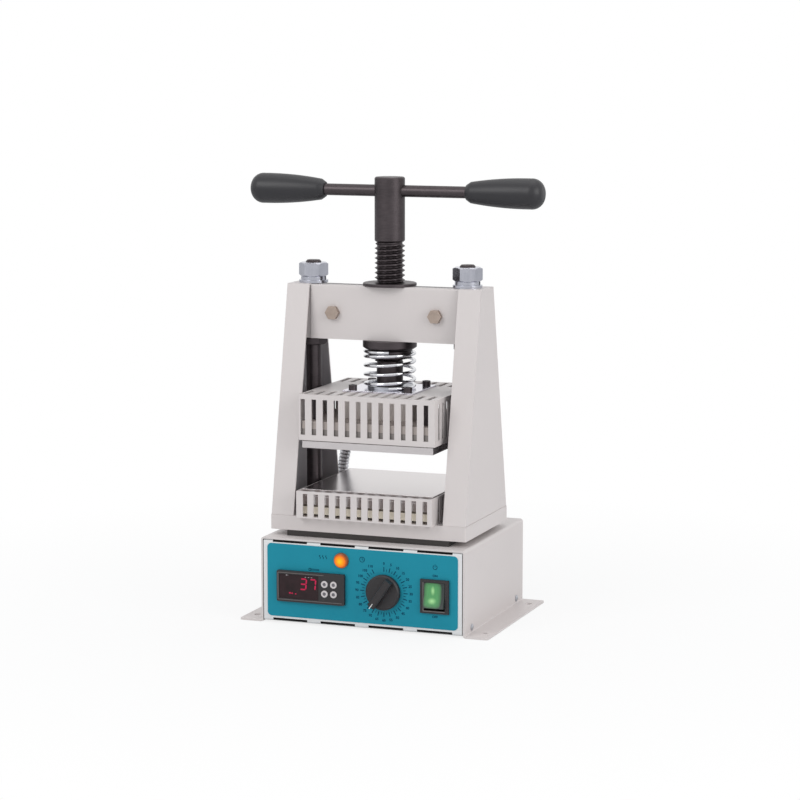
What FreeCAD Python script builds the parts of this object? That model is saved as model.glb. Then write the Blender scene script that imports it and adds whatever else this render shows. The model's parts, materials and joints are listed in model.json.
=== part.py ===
"""Rubber mould vulcanizer: a bench press with two heated platens, driven by hand through a screw.

Millimetres. X to the right, Y to the back, Z up. The origin is on the bench, under the middle of the
base box, and X = 0 is the press's plane of symmetry. The screw stands press_forward in front of Y = 0.
"""
import FreeCAD, Part
import math
import os
import re
import Sketcher
from FreeCAD import Placement, Rotation, Vector

# Driving sizes: name, value in millimetres, degrees or a count, and what it measures
SIZES = [
    ("base_width", 220.0, "outside of the cover's two walls"),
    ("base_depth", 188.0, "front to back of the base box"),
    ("base_height", 88.5, "bench to the top of the box"),
    ("base_sheet", 2.0, "sheet of the cover and the chassis"),
    ("bend_radius", 1.0, "inside radius of each bend"),
    ("flange_width", 24.5, "foot flange beyond the wall"),
    ("flange_corner", 3.0, "rounded corner of the flange"),
    ("mount_span_x", 247.0, "bench screw holes, left to right"),
    ("mount_span_y", 146.0, "bench screw holes, front to back"),
    ("mount_hole", 7.0, "diameter of a bench screw hole"),
    ("side_screw_span", 144.0, "front to back between the cover's screws"),
    ("side_screw_height", 7.0, "their height over the bench"),
    ("side_screw_bore", 4.2, "their holes"),
    ("side_screw_head", 7.0, "domed head, across"),
    ("chassis_gap", 0.7, "between the chassis and each wall"),
    ("chassis_lift", 1.8, "bench to the chassis's underside"),
    ("chassis_lip", 16.0, "folded lips under the box top"),
    ("side_lip_height", 13.0, "upturned lips that take the side screws"),
    ("side_lip_setback", 12.0, "their ends, from the box's faces"),
    ("fold_slot_length", 37.5, "slots along the front's folds"),
    ("fold_slot_height", 2.5, "their height"),
    ("fold_slot_pitch", 52.2, "middle to middle"),
    ("fold_slot_inset", 1.0, "lower slots over the lower edge"),
    ("fold_slot_count", 4, "slots in a row"),
    ("label_half_width", 103.0, "panel film, from the middle"),
    ("label_bottom", 7.4, "its lower edge"),
    ("label_top", 82.8, "its upper edge"),
    ("label_corner", 4.5, "its rounded corners"),
    ("label_thickness", 0.5, "its thickness"),
    ("controller_x", -54.3, "middle of the temperature controller"),
    ("controller_z", 40.0, "and its height"),
    ("controller_width", 74.0, "its bezel"),
    ("controller_height", 32.0, "its bezel's height"),
    ("controller_proud", 4.0, "bezel in front of the film"),
    ("controller_cut_x", 71.0, "panel cut-out"),
    ("controller_cut_z", 29.0, "panel cut-out's height"),
    ("controller_case_depth", 78.0, "case behind the panel"),
    ("window_width", 43.0, "display window"),
    ("window_height", 25.0, "its height"),
    ("window_inset", 3.0, "its left edge inside the bezel"),
    ("window_recess", 0.6, "pane behind the bezel's face"),
    ("window_pane", 1.5, "pane's thickness"),
    ("key_diameter", 7.5, "holes of the four keys"),
    ("key_left_x", -38.7, "left pair of keys"),
    ("key_pitch", 9.9, "between the pairs, both ways"),
    ("key_low_z", 34.9, "lower pair of keys"),
    ("key_proud", 0.9, "key in front of the bezel"),
    ("key_travel", 0.8, "press of a key"),
    ("slide_fit", 0.08, "radial play of a sliding piece"),
    ("lamp_x", -21.5, "pilot lamp"),
    ("lamp_z", 70.2, "its height"),
    ("lamp_diameter", 15.6, "its lens"),
    ("lamp_proud", 3.4, "lens in front of the film"),
    ("lamp_barrel", 12.0, "barrel through the panel"),
    ("lamp_depth", 24.0, "barrel behind the film"),
    ("timer_x", 24.3, "timer knob"),
    ("timer_z", 41.0, "its height"),
    ("timer_case", 46.0, "square clockwork case"),
    ("timer_case_depth", 38.0, "its depth"),
    ("timer_bush", 10.0, "threaded bush through the panel"),
    ("timer_shaft", 6.0, "shaft"),
    ("knob_diameter", 36.0, "skirt of the knob"),
    ("knob_skirt", 5.5, "thickness of the skirt"),
    ("knob_ridge", 8.0, "width of the finger ridge"),
    ("knob_proud", 14.5, "ridge in front of the film"),
    ("knob_clear", 0.6, "knob to film"),
    ("knob_turn", 215.0, "pointer, clockwise from the top"),
    ("switch_x", 78.95, "mains switch"),
    ("switch_z", 40.6, "its height"),
    ("switch_width", 30.3, "its bezel"),
    ("switch_height", 34.5, "its bezel's height"),
    ("switch_proud", 2.5, "bezel in front of the film"),
    ("switch_open_x", 22.2, "opening round the rocker"),
    ("switch_open_z", 28.3, "opening's height"),
    ("switch_wall", 2.4, "wall round the opening"),
    ("switch_depth", 22.0, "body behind the film"),
    ("rocker_play", 0.4, "rocker to the opening's sides"),
    ("rocker_pivot", 6.0, "pivot behind the bezel's face"),
    ("rocker_pin", 3.0, "pivot pin"),
    ("rocker_tilt", 10.0, "tilt of the rocker, each way"),
    ("running_fit", 0.05, "radial play of a turning piece"),
    ("inlet_x", 70.0, "mains inlet, on the back"),
    ("inlet_z", 40.0, "its height"),
    ("inlet_flange_x", 50.0, "its flange"),
    ("inlet_flange_z", 22.0, "its flange's height"),
    ("inlet_body_x", 27.0, "body through the panel"),
    ("inlet_body_z", 19.5, "body's height"),
    ("inlet_depth", 24.0, "body inside the box"),
    ("fuse_z", 66.0, "fuse holder over the inlet"),
    ("fuse_bore", 12.6, "its hole"),
    ("fuse_cap", 16.0, "its cap"),
    ("spacer_half_width", 87.6, "insulating spacer, from the middle"),
    ("spacer_thickness", 5.9, "its thickness"),
    ("plate_half_width", 105.7, "press base plate, from the middle"),
    ("plate_half_depth", 65.6, "front to back, from the screw"),
    ("plate_thickness", 15.0, "its thickness"),
    ("press_forward", 13.0, "screw in front of the box's middle"),
    ("plate_screw_x", 72.0, "four screws from inside the box"),
    ("plate_screw_y", 50.0, "front to back, from the screw"),
    ("plate_screw", 6.0, "their thread"),
    ("plate_screw_head", 10.0, "their heads"),
    ("lead_hole", 14.0, "way for the lower heater's leads"),
    ("lead_hole_back", 40.0, "its place behind the screw"),
    ("rod_x", 84.0, "tie rods, from the middle"),
    ("rod_diameter", 16.0, "tie rod"),
    ("rod_end", 2.0, "rod above its nut"),
    ("rod_clearance", 0.5, "radial, in the beam and the covers"),
    ("rod_chamfer", 1.5, "at the rod's top"),
    ("column_inner_x", 80.8, "column cover's open side"),
    ("column_width", 24.3, "across the column cover"),
    ("column_height", 233.4, "base plate to the top"),
    ("column_foot", 65.0, "half depth at the foot"),
    ("column_head", 19.6, "half depth at the top"),
    ("column_sheet", 2.0, "its sheet"),
    ("beam_height", 54.1, "crossbeam bar"),
    ("beam_front", 15.1, "bar's front face, from the screw"),
    ("beam_back", 17.2, "bar's back face, from the screw"),
    ("beam_end_gap", 1.6, "bar's end to the column cover"),
    ("beam_cover_sheet", 1.5, "sheet over the bar's front"),
    ("beam_cover_lip", 9.0, "its lip over the bar"),
    ("beam_cover_gap", 0.5, "its ends to the column covers"),
    ("beam_bolt_x", 55.7, "two bolts, from the middle"),
    ("beam_bolt_drop", 28.3, "below the cover's top"),
    ("beam_bolt", 8.0, "their thread"),
    ("beam_bolt_flats", 13.0, "their heads, across flats"),
    ("beam_bolt_head", 5.3, "their heads"),
    ("beam_bolt_depth", 17.0, "thread inside the bar"),
    ("washer_diameter", 30.0, "flat washers on the rods"),
    ("washer_thickness", 3.0, "their thickness"),
    ("lock_washer_diameter", 26.0, "split washers"),
    ("lock_washer_thickness", 3.5, "their thickness"),
    ("lock_washer_split", 3.0, "their gap"),
    ("nut_flats", 24.0, "rod nuts, across flats"),
    ("nut_height", 14.8, "rod nuts"),
    ("lower_nut_height", 8.0, "thin nuts under the beam"),
    ("thread_diameter", 27.5, "screw thread at its pitch line"),
    ("thread_clear", 0.35, "radial, screw in the bar"),
    ("collar_diameter", 55.5, "flanged nut under the beam"),
    ("collar_thickness", 7.2, "its flange"),
    ("collar_taper", 3.6, "taper under the flange"),
    ("collar_boss", 44.0, "boss inside the spring"),
    ("collar_boss_length", 8.0, "boss below the taper"),
    ("ring_diameter", 55.0, "ring on the beam"),
    ("ring_thickness", 3.0, "its thickness"),
    ("guard_half_width", 73.3, "slotted guards, from the middle"),
    ("guard_sheet", 1.5, "their sheet"),
    ("platen_half_width", 70.7, "platens, from the middle"),
    ("platen_half_depth", 65.0, "front to back, from the screw"),
    ("lower_platen_top", 28.6, "working face over the base plate"),
    ("platen_thickness", 7.2, "platen plates"),
    ("lower_block", 8.8, "lower heater block"),
    ("heater_thickness", 2.0, "flat heater elements"),
    ("lower_board", 7.6, "lower insulating board"),
    ("stand_off_diameter", 16.0, "washers under the lower board"),
    ("lower_screw_x", 52.0, "four screws from the base plate"),
    ("lower_screw_y", 40.0, "front to back, from the screw"),
    ("lower_screw", 5.0, "their thread"),
    ("lower_screw_head", 9.0, "their heads"),
    ("lower_screw_sink", 5.4, "counterbores in the base plate"),
    ("lower_screw_grip", 5.0, "thread inside the block"),
    ("lower_guard_front", 75.6, "guard's front, from the screw"),
    ("lower_guard_back", 73.0, "guard's back, from the screw"),
    ("lower_guard_height", 27.9, "over the base plate"),
    ("lower_slot_count", 12, "slots across its front"),
    ("lower_side_slot_count", 10, "slots along its sides"),
    ("lower_slot_pitch", 12.0, "middle to middle"),
    ("lower_slot_width", 4.0, "their width"),
    ("lower_slot_foot", 1.5, "slot over the base plate"),
    ("lower_slot_head", 2.7, "slot to the guard's top edge"),
    ("daylight", 42.3, "space between the platens at rest"),
    ("upper_block", 12.5, "upper heater block"),
    ("upper_board", 6.0, "upper insulating board"),
    ("upper_guard_gap", 1.0, "guard's lower edge over the platen"),
    ("upper_guard_height", 47.0, "upper guard"),
    ("upper_guard_half_depth", 67.5, "front to back, from the screw"),
    ("upper_slot_count", 12, "slots across its front"),
    ("upper_side_slot_count", 10, "slots along its sides"),
    ("upper_slot_pitch", 12.4, "middle to middle"),
    ("upper_slot_width", 5.0, "their width"),
    ("upper_slot_foot", 5.5, "slot over the lower edge"),
    ("upper_slot_head", 5.0, "slot to the top"),
    ("top_slot_length", 20.0, "slots in the guard's top"),
    ("top_slot_inset", 5.0, "their start from the edge"),
    ("post_diameter", 10.0, "posts that hold the guard"),
    ("post_x", 60.0, "posts, from the middle"),
    ("post_y", 50.0, "posts, from the screw"),
    ("housing_half_width", 38.0, "thrust housing"),
    ("housing_half_depth", 36.0, "thrust housing, from the screw"),
    ("housing_screw_x", 30.0, "its four cap screws"),
    ("housing_screw_y", 27.5, "front to back, from the screw"),
    ("housing_screw", 5.0, "their thread"),
    ("housing_screw_head", 8.5, "their heads"),
    ("housing_screw_key", 4.0, "hexagon socket, across flats"),
    ("housing_screw_length", 16.0, "under the head"),
    ("retainer_thickness", 1.5, "bright plate under the cap screws"),
    ("shank_diameter", 27.0, "screw below its thread"),
    ("shank_clear", 0.5, "radial, shank in the plates"),
    ("foot_diameter", 37.0, "foot of the screw"),
    ("foot_thickness", 6.0, "its thickness"),
    ("foot_play", 0.3, "end play of the foot"),
    ("foot_clear", 0.6, "radial, foot in its housing"),
    ("bearing_height", 8.0, "thrust bearing"),
    ("bearing_bore", 16.0, "its hole"),
    ("ball_diameter", 4.8, "its balls"),
    ("ball_count", 14, "balls in the ring"),
    ("seat_diameter", 46.0, "ring that centres the spring"),
    ("seat_thickness", 3.0, "its thickness"),
    ("spring_diameter", 54.0, "return spring, outside"),
    ("spring_wire", 3.4, "its wire"),
    ("spring_end_gap", 0.5, "between its closed end turns"),
    ("spring_free_gap", 0.9, "top turn under the collar's flange"),
    ("hub_diameter", 31.0, "head of the screw"),
    ("hub_height", 65.7, "its height"),
    ("hub_lift", 41.9, "hub over the ring at rest"),
    ("hub_chamfer", 1.2, "its edges"),
    ("bar_diameter", 12.0, "tommy bar"),
    ("bar_drop", 14.1, "bar below the hub's top"),
    ("bar_shift", 6.3, "bar's middle, to the right"),
    ("grip_gap", 153.3, "bar showing between the grips"),
    ("grip_length", 80.6, "grips"),
    ("grip_diameter", 31.0, "their thickest"),
    ("grip_neck", 21.6, "at the inner end"),
    ("grip_tip", 15.0, "flat of the outer end"),
    ("grip_mouth", 15.6, "inner end inside its chamfer"),
    ("grip_shoulder", 13.0, "outer end to the thickest"),
    ("grip_chamfer", 4.6, "inner end's chamfer"),
    ("grip_cap", 12.0, "grip past the bar's end"),
    ("conduit_diameter", 11.5, "conduit over its ribs"),
    ("conduit_root", 10.1, "between its ribs"),
    ("conduit_bore", 8.0, "its bore"),
    ("rib_pitch", 3.9, "ribs, middle to middle"),
    ("gland_flats", 17.0, "conduit nuts, across flats"),
    ("gland_height", 8.0, "their height"),
    ("gland_x", -84.3, "gland on the box top"),
    ("elbow_x", -59.0, "elbow on the upper guard"),
    ("elbow_drop", 24.0, "its middle below the guard's top"),
    ("elbow_reach", 11.0, "its middle behind the guard"),
    ("elbow_length", 12.0, "elbow's outlet from its middle"),
    ("elbow_tilt", 26.0, "outlet turned to the left, from straight down"),
    ("elbow_diameter", 14.0, "its tube"),
    ("elbow_flange", 3.0, "its nut against the guard"),
    ("conduit_upper_run", 16.4, "elbow to the conduit's upper bend"),
    ("conduit_lower_run", 41.5, "gland to its lower bend"),
]

# Places worked out from the sizes, each from the ones above it
PLACES = {
    "wall_half": "base_width/2",
    "box_front": "-base_depth/2",
    "box_back": "base_depth/2",
    "chassis_half": "wall_half - base_sheet - chassis_gap",
    "chassis_top": "base_height - base_sheet",
    "panel_back": "box_front + base_sheet",
    "film_front": "box_front - label_thickness",
    "bezel_front": "film_front - controller_proud",
    "controller_left": "controller_x - controller_width/2",
    "switch_front": "film_front - switch_proud",
    "pivot_y": "switch_front + rocker_pivot",
    "press_y": "-press_forward",
    "plate_bottom": "base_height + spacer_thickness",
    "plate_top": "plate_bottom + plate_thickness",
    "column_outer": "column_inner_x + column_width",
    "column_top": "plate_top + column_height",
    "column_slope": "(column_foot - column_head)/column_height",
    "column_wall": "column_sheet*sqrt(1 + column_slope*column_slope)",
    "beam_top": "column_top - column_sheet",
    "beam_bottom": "beam_top - beam_height",
    "beam_half": "column_outer - column_sheet - beam_end_gap",
    "beam_cover_top": "beam_top + beam_cover_sheet",
    "beam_cover_front": "press_y - beam_front - beam_cover_sheet",
    "beam_cover_half": "column_inner_x - beam_cover_gap",
    "beam_bolt_z": "beam_cover_top - beam_bolt_drop",
    "nut_bottom": "column_top + washer_thickness + lock_washer_thickness",
    "rod_top": "nut_bottom + nut_height + rod_end",
    "ring_top": "beam_cover_top + ring_thickness",
    "flange_bottom": "beam_bottom - collar_thickness",
    "taper_bottom": "flange_bottom - collar_taper",
    "boss_bottom": "taper_bottom - collar_boss_length",
    "working_face": "plate_top + lower_platen_top",
    "lower_block_top": "working_face - platen_thickness",
    "lower_block_bottom": "lower_block_top - lower_block",
    "lower_heater_bottom": "lower_block_bottom - heater_thickness",
    "lower_board_bottom": "lower_heater_bottom - lower_board",
    "lower_guard_top": "plate_top + lower_guard_height",
    "upper_face": "working_face + daylight",
    "upper_block_bottom": "upper_face + platen_thickness",
    "upper_block_top": "upper_block_bottom + upper_block",
    "upper_heater_top": "upper_block_top + heater_thickness",
    "upper_board_top": "upper_heater_top + upper_board",
    "upper_guard_bottom": "upper_block_bottom + upper_guard_gap",
    "upper_guard_top": "upper_guard_bottom + upper_guard_height",
    "guard_ceiling": "upper_guard_top - guard_sheet",
    "retainer_top": "upper_guard_top + retainer_thickness",
    "foot_top": "guard_ceiling - foot_play",
    "foot_bottom": "foot_top - foot_thickness",
    "bearing_top": "foot_bottom - running_fit",
    "bearing_bottom": "bearing_top - bearing_height",
    "hub_bottom": "ring_top + hub_lift",
    "hub_top": "hub_bottom + hub_height",
    "bar_z": "hub_top - bar_drop",
    "grip_left_inner": "bar_shift - grip_gap/2",
    "grip_right_inner": "bar_shift + grip_gap/2",
    "elbow_z": "upper_guard_top - elbow_drop",
    "elbow_y": "press_y + upper_guard_half_depth + elbow_reach",
    "gland_y": "elbow_y",
    "conduit_bottom": "base_height + gland_height",
}

doc = FreeCAD.newDocument("Vulcanizer")
sheet = doc.addObject("Spreadsheet::Sheet", "Sizes")
for row, (alias, number, meaning) in enumerate(SIZES, start=1):
    sheet.set(f"A{row}", meaning)
    sheet.set(f"B{row}", str(number))
    sheet.setAlias(f"B{row}", alias)
doc.recompute()

SHEET_NAMES = {alias for alias, number, meaning in SIZES}


def formula(text):
    """The words of a formula as cells of the sheet, with each worked-out place put in brackets."""
    def swap(match):
        word = match.group(0)
        if word in PLACES:
            return "(" + formula(PLACES[word]) + ")"
        return "Sizes." + word if word in SHEET_NAMES else word
    return re.sub(r"[a-z_]+", swap, str(text))


def number(text):
    """What a formula comes to now."""
    return float(sheet.evalExpression(formula(text)))


def bind(thing, **formulas):
    """Ties a feature's sizes to the sheet."""
    for size_name, text in formulas.items():
        thing.setExpression(size_name, formula(text))


def set_at(thing, x="0", y="0", z="0"):
    """Ties a feature's place to the sheet."""
    for axis, text in zip("xyz", (x, y, z)):
        thing.setExpression("Placement.Base." + axis, formula(text))


# Which way a rod or a hexagon is turned
TURNS = {
    "X": Rotation(Vector(0, 1, 0), 90),
    "Y": Rotation(Vector(1, 0, 0), -90),
    "Z": Rotation(),
    "Outlet": Rotation(Vector(0, 1, 0), 180 + number("elbow_tilt")),
}


def block(name, x, y, z):
    """A box between two places along each axis."""
    piece = doc.addObject("Part::Box", name)
    spans = [f"({high}) - ({low})" for low, high in (x, y, z)]
    bind(piece, Length=spans[0], Width=spans[1], Height=spans[2])
    set_at(piece, x[0], y[0], z[0])
    return piece


def rod(name, diameter, length, x="0", y="0", z="0", along="Z"):
    """A round bar that starts at a place and runs along X, Y or Z."""
    piece = doc.addObject("Part::Cylinder", name)
    piece.Placement = Placement(Vector(), TURNS[along])
    bind(piece, Radius=f"({diameter})/2", Height=length)
    set_at(piece, x, y, z)
    return piece


def hexagon(name, flats, length, x="0", y="0", z="0", along="Z"):
    """A hexagon bar, by its size across flats."""
    piece = doc.addObject("Part::Prism", name)
    piece.Polygon = 6
    piece.Placement = Placement(Vector(), TURNS[along])
    bind(piece, Circumradius=f"({flats})/sqrt(3)", Height=length)
    set_at(piece, x, y, z)
    return piece


def cut(name, base, *tools):
    """The base piece without the tools."""
    piece = doc.addObject("Part::Cut", name)
    piece.Base = base
    piece.Tool = tools[0] if len(tools) == 1 else group(name + "Tools", *tools)
    return piece


def join(name, *members):
    """Several bodies grown into one."""
    piece = doc.addObject("Part::MultiFuse", name)
    piece.Shapes = list(members)
    piece.Refine = True
    return piece


def group(name, *members):
    """Separate solids kept side by side."""
    piece = doc.addObject("Part::Compound", name)
    piece.Links = list(members)
    return piece


class Plan:
    """A body built from sketches, each drawn from formulas."""

    ROLES = {"XY": "XY_Plane", "XZ": "XZ_Plane", "YZ": "YZ_Plane"}

    def __init__(self, name, x="0", y="0", z="0", turn=None):
        self.body = doc.addObject("PartDesign::Body", name)
        if turn is not None:
            self.body.Placement = Placement(Vector(), turn)
        set_at(self.body, x, y, z)
        self.count = 0

    def sketch(self, plane, lift="0"):
        """An empty sketch on one of the body's planes, lifted along the plane's normal."""
        self.count += 1
        drawing = self.body.newObject("Sketcher::SketchObject", f"{self.body.Name}Sketch{self.count}")
        planes = self.body.Origin.OriginFeatures
        drawing.AttachmentSupport = (next(p for p in planes if p.Role == self.ROLES[plane]), [""])
        drawing.MapMode = "FlatFace"
        drawing.setExpression("AttachmentOffset.Base.z", formula(lift))
        return drawing

    def outline(self, drawing, corners):
        """A closed outline. A corner is (x, y), or (x, y, radius) where an arc bulges out to the next."""
        places = [(number(corner[0]), number(corner[1])) for corner in corners]
        first = drawing.GeometryCount
        ends = []
        for index, corner in enumerate(corners):
            start, end = places[index], places[(index + 1) % len(places)]
            if len(corner) == 2:
                drawing.addGeometry(Part.LineSegment(Vector(*start, 0), Vector(*end, 0)), False)
                ends.append((1, 2))
                continue
            radius = number(corner[2])
            chord = Vector(end[0] - start[0], end[1] - start[1], 0)
            rise = math.sqrt(max(radius * radius - chord.Length ** 2 / 4, 0))
            left = Vector(-chord.y, chord.x, 0).normalize()
            middle = Vector((start[0] + end[0]) / 2, (start[1] + end[1]) / 2, 0)
            centre = middle - left * rise
            angles = [math.atan2(y - centre.y, x - centre.x) for x, y in (end, start)]
            circle = Part.Circle(centre, Vector(0, 0, 1), radius)
            drawing.addGeometry(Part.ArcOfCircle(circle, *angles), False)
            ends.append((2, 1))
        for index, corner in enumerate(corners):
            following = (index + 1) % len(corners)
            line, next_line = first + index, first + following
            drawing.addConstraint(
                Sketcher.Constraint("Coincident", line, ends[index][1], next_line, ends[following][0]))
            for kind, place, text in zip(("DistanceX", "DistanceY"), places[index], corner):
                rule = Sketcher.Constraint(kind, -1, 1, line, ends[index][0], place)
                drawing.setExpression(f"Constraints[{drawing.addConstraint(rule)}]", formula(text))
            if len(corner) == 3:
                rule = Sketcher.Constraint("Radius", line, number(corner[2]))
                drawing.setExpression(f"Constraints[{drawing.addConstraint(rule)}]", formula(corner[2]))

    def circles(self, drawing, diameter, centres):
        """Circles of one size, at the given places."""
        for x, y in centres:
            places = number(x), number(y)
            circle = Part.Circle(Vector(*places, 0), Vector(0, 0, 1), number(diameter) / 2)
            index = drawing.addGeometry(circle, False)
            for kind, place, text in zip(("DistanceX", "DistanceY"), places, (x, y)):
                rule = Sketcher.Constraint(kind, -1, 1, index, 3, place)
                drawing.setExpression(f"Constraints[{drawing.addConstraint(rule)}]", formula(text))
            rule = Sketcher.Constraint("Diameter", index, number(diameter))
            drawing.setExpression(f"Constraints[{drawing.addConstraint(rule)}]", formula(diameter))

    def rectangle(self, drawing, x, y):
        """A rectangle between two places each way."""
        self.outline(drawing, [(x[0], y[0]), (x[1], y[0]), (x[1], y[1]), (x[0], y[1])])

    def feature(self, kind, drawing):
        self.count += 1
        made = self.body.newObject(f"PartDesign::{kind}", f"{self.body.Name}{kind}{self.count}")
        made.Profile = drawing
        return made

    def pad(self, drawing, length, both=False, back=False):
        """Thickness given to a sketch: along its normal, against it, or half each way."""
        made = self.feature("Pad", drawing)
        made.SideType = "Symmetric" if both else "One side"
        made.Reversed = back
        bind(made, Length=length)
        return made

    def pocket(self, drawing, depth=None, back=False):
        """A sketch cut into the body: to a depth against its normal, or right through both ways."""
        made = self.feature("Pocket", drawing)
        made.Reversed = back
        if depth is None:
            made.SideType = "Symmetric"
            made.Type = "ThroughAll"
        else:
            bind(made, Length=depth)
        return made

    def revolve(self, drawing, axis="V_Axis"):
        """A sketch turned once round its own upright or level axis."""
        made = self.feature("Revolution", drawing)
        made.ReferenceAxis = (drawing, [axis])
        made.Angle = 360
        return made

    def row(self, made, axis, length, copies):
        """A feature repeated in a straight row over a length."""
        self.count += 1
        pattern = self.body.newObject("PartDesign::LinearPattern", f"{self.body.Name}Row{self.count}")
        pattern.Originals = [made]
        pattern.Direction = (made.Profile[0], [axis])
        bind(pattern, Length=length, Occurrences=copies)
        self.body.Tip = pattern
        return pattern

    def round_off(self, kind, size_name, direction, places):
        """Fillets or chamfers the straight edges along one axis that pass through the given places."""
        doc.recompute()
        base = self.body.Tip
        across = [axis for axis in "xyz" if axis != direction]
        targets = [tuple(number(text) for text in place) for place in places]
        chosen = []
        for index, edge in enumerate(base.Shape.Edges, start=1):
            start, end = edge.Vertexes[0].Point, edge.Vertexes[-1].Point
            straight = all(abs(getattr(start, axis) - getattr(end, axis)) < 1e-6 for axis in across)
            here = [getattr(start, axis) for axis in across]
            if straight and edge.Length > 1e-3 and any(math.dist(here, spot) < 1e-4 for spot in targets):
                chosen.append(f"Edge{index}")
        self.count += 1
        made = self.body.newObject(f"PartDesign::{kind}", f"{self.body.Name}{kind}{self.count}")
        made.Base = (base, chosen)
        bind(made, **{"Radius" if kind == "Fillet" else "Size": size_name})
        self.body.Tip = made
        return made


NODES = {}


def node(name, piece):
    """Names a finished piece: its file carries this name."""
    piece.Label = name
    NODES[name] = piece
    return piece


SIDES = {"left": "-1", "right": "1"}


def mirrored(x):
    """A place and its mirror image across the press's middle."""
    return [f"-({x})", x]


def corners_of(x, y):
    """The four places at plus and minus x, and at plus and minus y from the screw."""
    return [(place_x, f"press_y {sign} ({y})") for place_x in mirrored(x) for sign in "+-"]


def base_cover():
    """Folded cover: a foot flange, a wall, the top, a wall and a flange, from one sheet."""
    plan = Plan("BaseCover")
    inside, roof = "(wall_half - base_sheet)", "(base_height - base_sheet)"
    foot = "(wall_half + flange_width)"
    profile = plan.sketch("XZ")
    plan.outline(profile, [
        (f"-{foot}", "0"), (f"-{inside}", "0"), (f"-{inside}", roof), (inside, roof), (inside, "0"),
        (foot, "0"), (foot, "base_sheet"), ("wall_half", "base_sheet"), ("wall_half", "base_height"),
        ("-wall_half", "base_height"), ("-wall_half", "base_sheet"), (f"-{foot}", "base_sheet")])
    plan.pad(profile, "base_depth", both=True)
    outer = [(x, "base_height") for x in mirrored("wall_half")] + [(x, "0") for x in mirrored(inside)]
    inner = [(x, roof) for x in mirrored(inside)] + [(x, "base_sheet") for x in mirrored("wall_half")]
    plan.round_off("Fillet", "bend_radius + base_sheet", "y", outer)
    plan.round_off("Fillet", "bend_radius", "y", inner)
    corners = [(x, y) for x in mirrored(foot) for y in ("box_front", "box_back")]
    plan.round_off("Fillet", "flange_corner", "z", corners)
    holes = plan.sketch("XY")
    spots = [(x, y) for x in mirrored("mount_span_x/2") for y in mirrored("mount_span_y/2")]
    plan.circles(holes, "mount_hole", spots)
    plan.circles(holes, "plate_screw + 2*rod_clearance", corners_of("plate_screw_x", "plate_screw_y"))
    plan.circles(holes, "lead_hole", [("0", "press_y + lead_hole_back")])
    plan.circles(holes, "conduit_diameter + 1", [("gland_x", "gland_y")])
    plan.pocket(holes)
    side = plan.sketch("YZ")
    plan.circles(side, "side_screw_bore", [(y, "side_screw_height") for y in mirrored("side_screw_span/2")])
    plan.pocket(side)
    node("base_cover", plan.body)


def chassis():
    """One sheet folded into the front panel, the floor and the back panel, with lips under the top."""
    plan = Plan("Chassis")
    inner_front, inner_back = "(box_front + base_sheet)", "(box_back - base_sheet)"
    floor, ceiling = "(chassis_lift + base_sheet)", "(chassis_top - base_sheet)"
    profile = plan.sketch("YZ")
    plan.outline(profile, [
        ("box_front", "chassis_lift"), ("box_back", "chassis_lift"), ("box_back", "chassis_top"),
        ("box_back - chassis_lip", "chassis_top"), ("box_back - chassis_lip", ceiling),
        (inner_back, ceiling), (inner_back, floor), (inner_front, floor), (inner_front, ceiling),
        ("box_front + chassis_lip", ceiling), ("box_front + chassis_lip", "chassis_top"),
        ("box_front", "chassis_top")])
    plan.pad(profile, "2*chassis_half", both=True)
    outer = [(y, z) for y in ("box_front", "box_back") for z in ("chassis_lift", "chassis_top")]
    inner = [(y, z) for y in (inner_front, inner_back) for z in (floor, ceiling)]
    plan.round_off("Fillet", "bend_radius + base_sheet", "x", outer)
    plan.round_off("Fillet", "bend_radius", "x", inner)
    lips = plan.sketch("XY", lift="chassis_lift")
    reach = ("box_front + side_lip_setback", "box_back - side_lip_setback")
    plan.rectangle(lips, ("-chassis_half", "-chassis_half + base_sheet"), reach)
    plan.rectangle(lips, ("chassis_half - base_sheet", "chassis_half"), reach)
    plan.pad(lips, "side_lip_height")
    first = "-fold_slot_pitch*(fold_slot_count - 1)/2"
    span = (f"{first} - fold_slot_length/2", f"{first} + fold_slot_length/2")
    low = "(chassis_lift + fold_slot_inset)"
    for face, back in (("-box_front", False), ("-box_back", True)):
        for height in ((low, f"{low} + fold_slot_height"), ("chassis_top - fold_slot_height", "chassis_top")):
            slot = plan.sketch("XZ", lift=face)
            plan.rectangle(slot, span, height)
            cutter = plan.pocket(slot, "bend_radius + base_sheet", back=back)
            plan.row(cutter, "H_Axis", "fold_slot_pitch*(fold_slot_count - 1)", "fold_slot_count")
    front = plan.sketch("XZ", lift="-box_front")
    panel_openings(plan, front)
    plan.pocket(front, "2*base_sheet")
    back = plan.sketch("XZ", lift="-box_back")
    plan.rectangle(back, ("inlet_x - inlet_body_x/2", "inlet_x + inlet_body_x/2"),
                   ("inlet_z - inlet_body_z/2", "inlet_z + inlet_body_z/2"))
    plan.circles(back, "fuse_bore", [("inlet_x", "fuse_z")])
    plan.pocket(back, "2*base_sheet", back=True)
    side = plan.sketch("YZ")
    plan.circles(side, "side_screw_bore", [(y, "side_screw_height") for y in mirrored("side_screw_span/2")])
    plan.pocket(side)
    node("chassis", plan.body)


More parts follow.
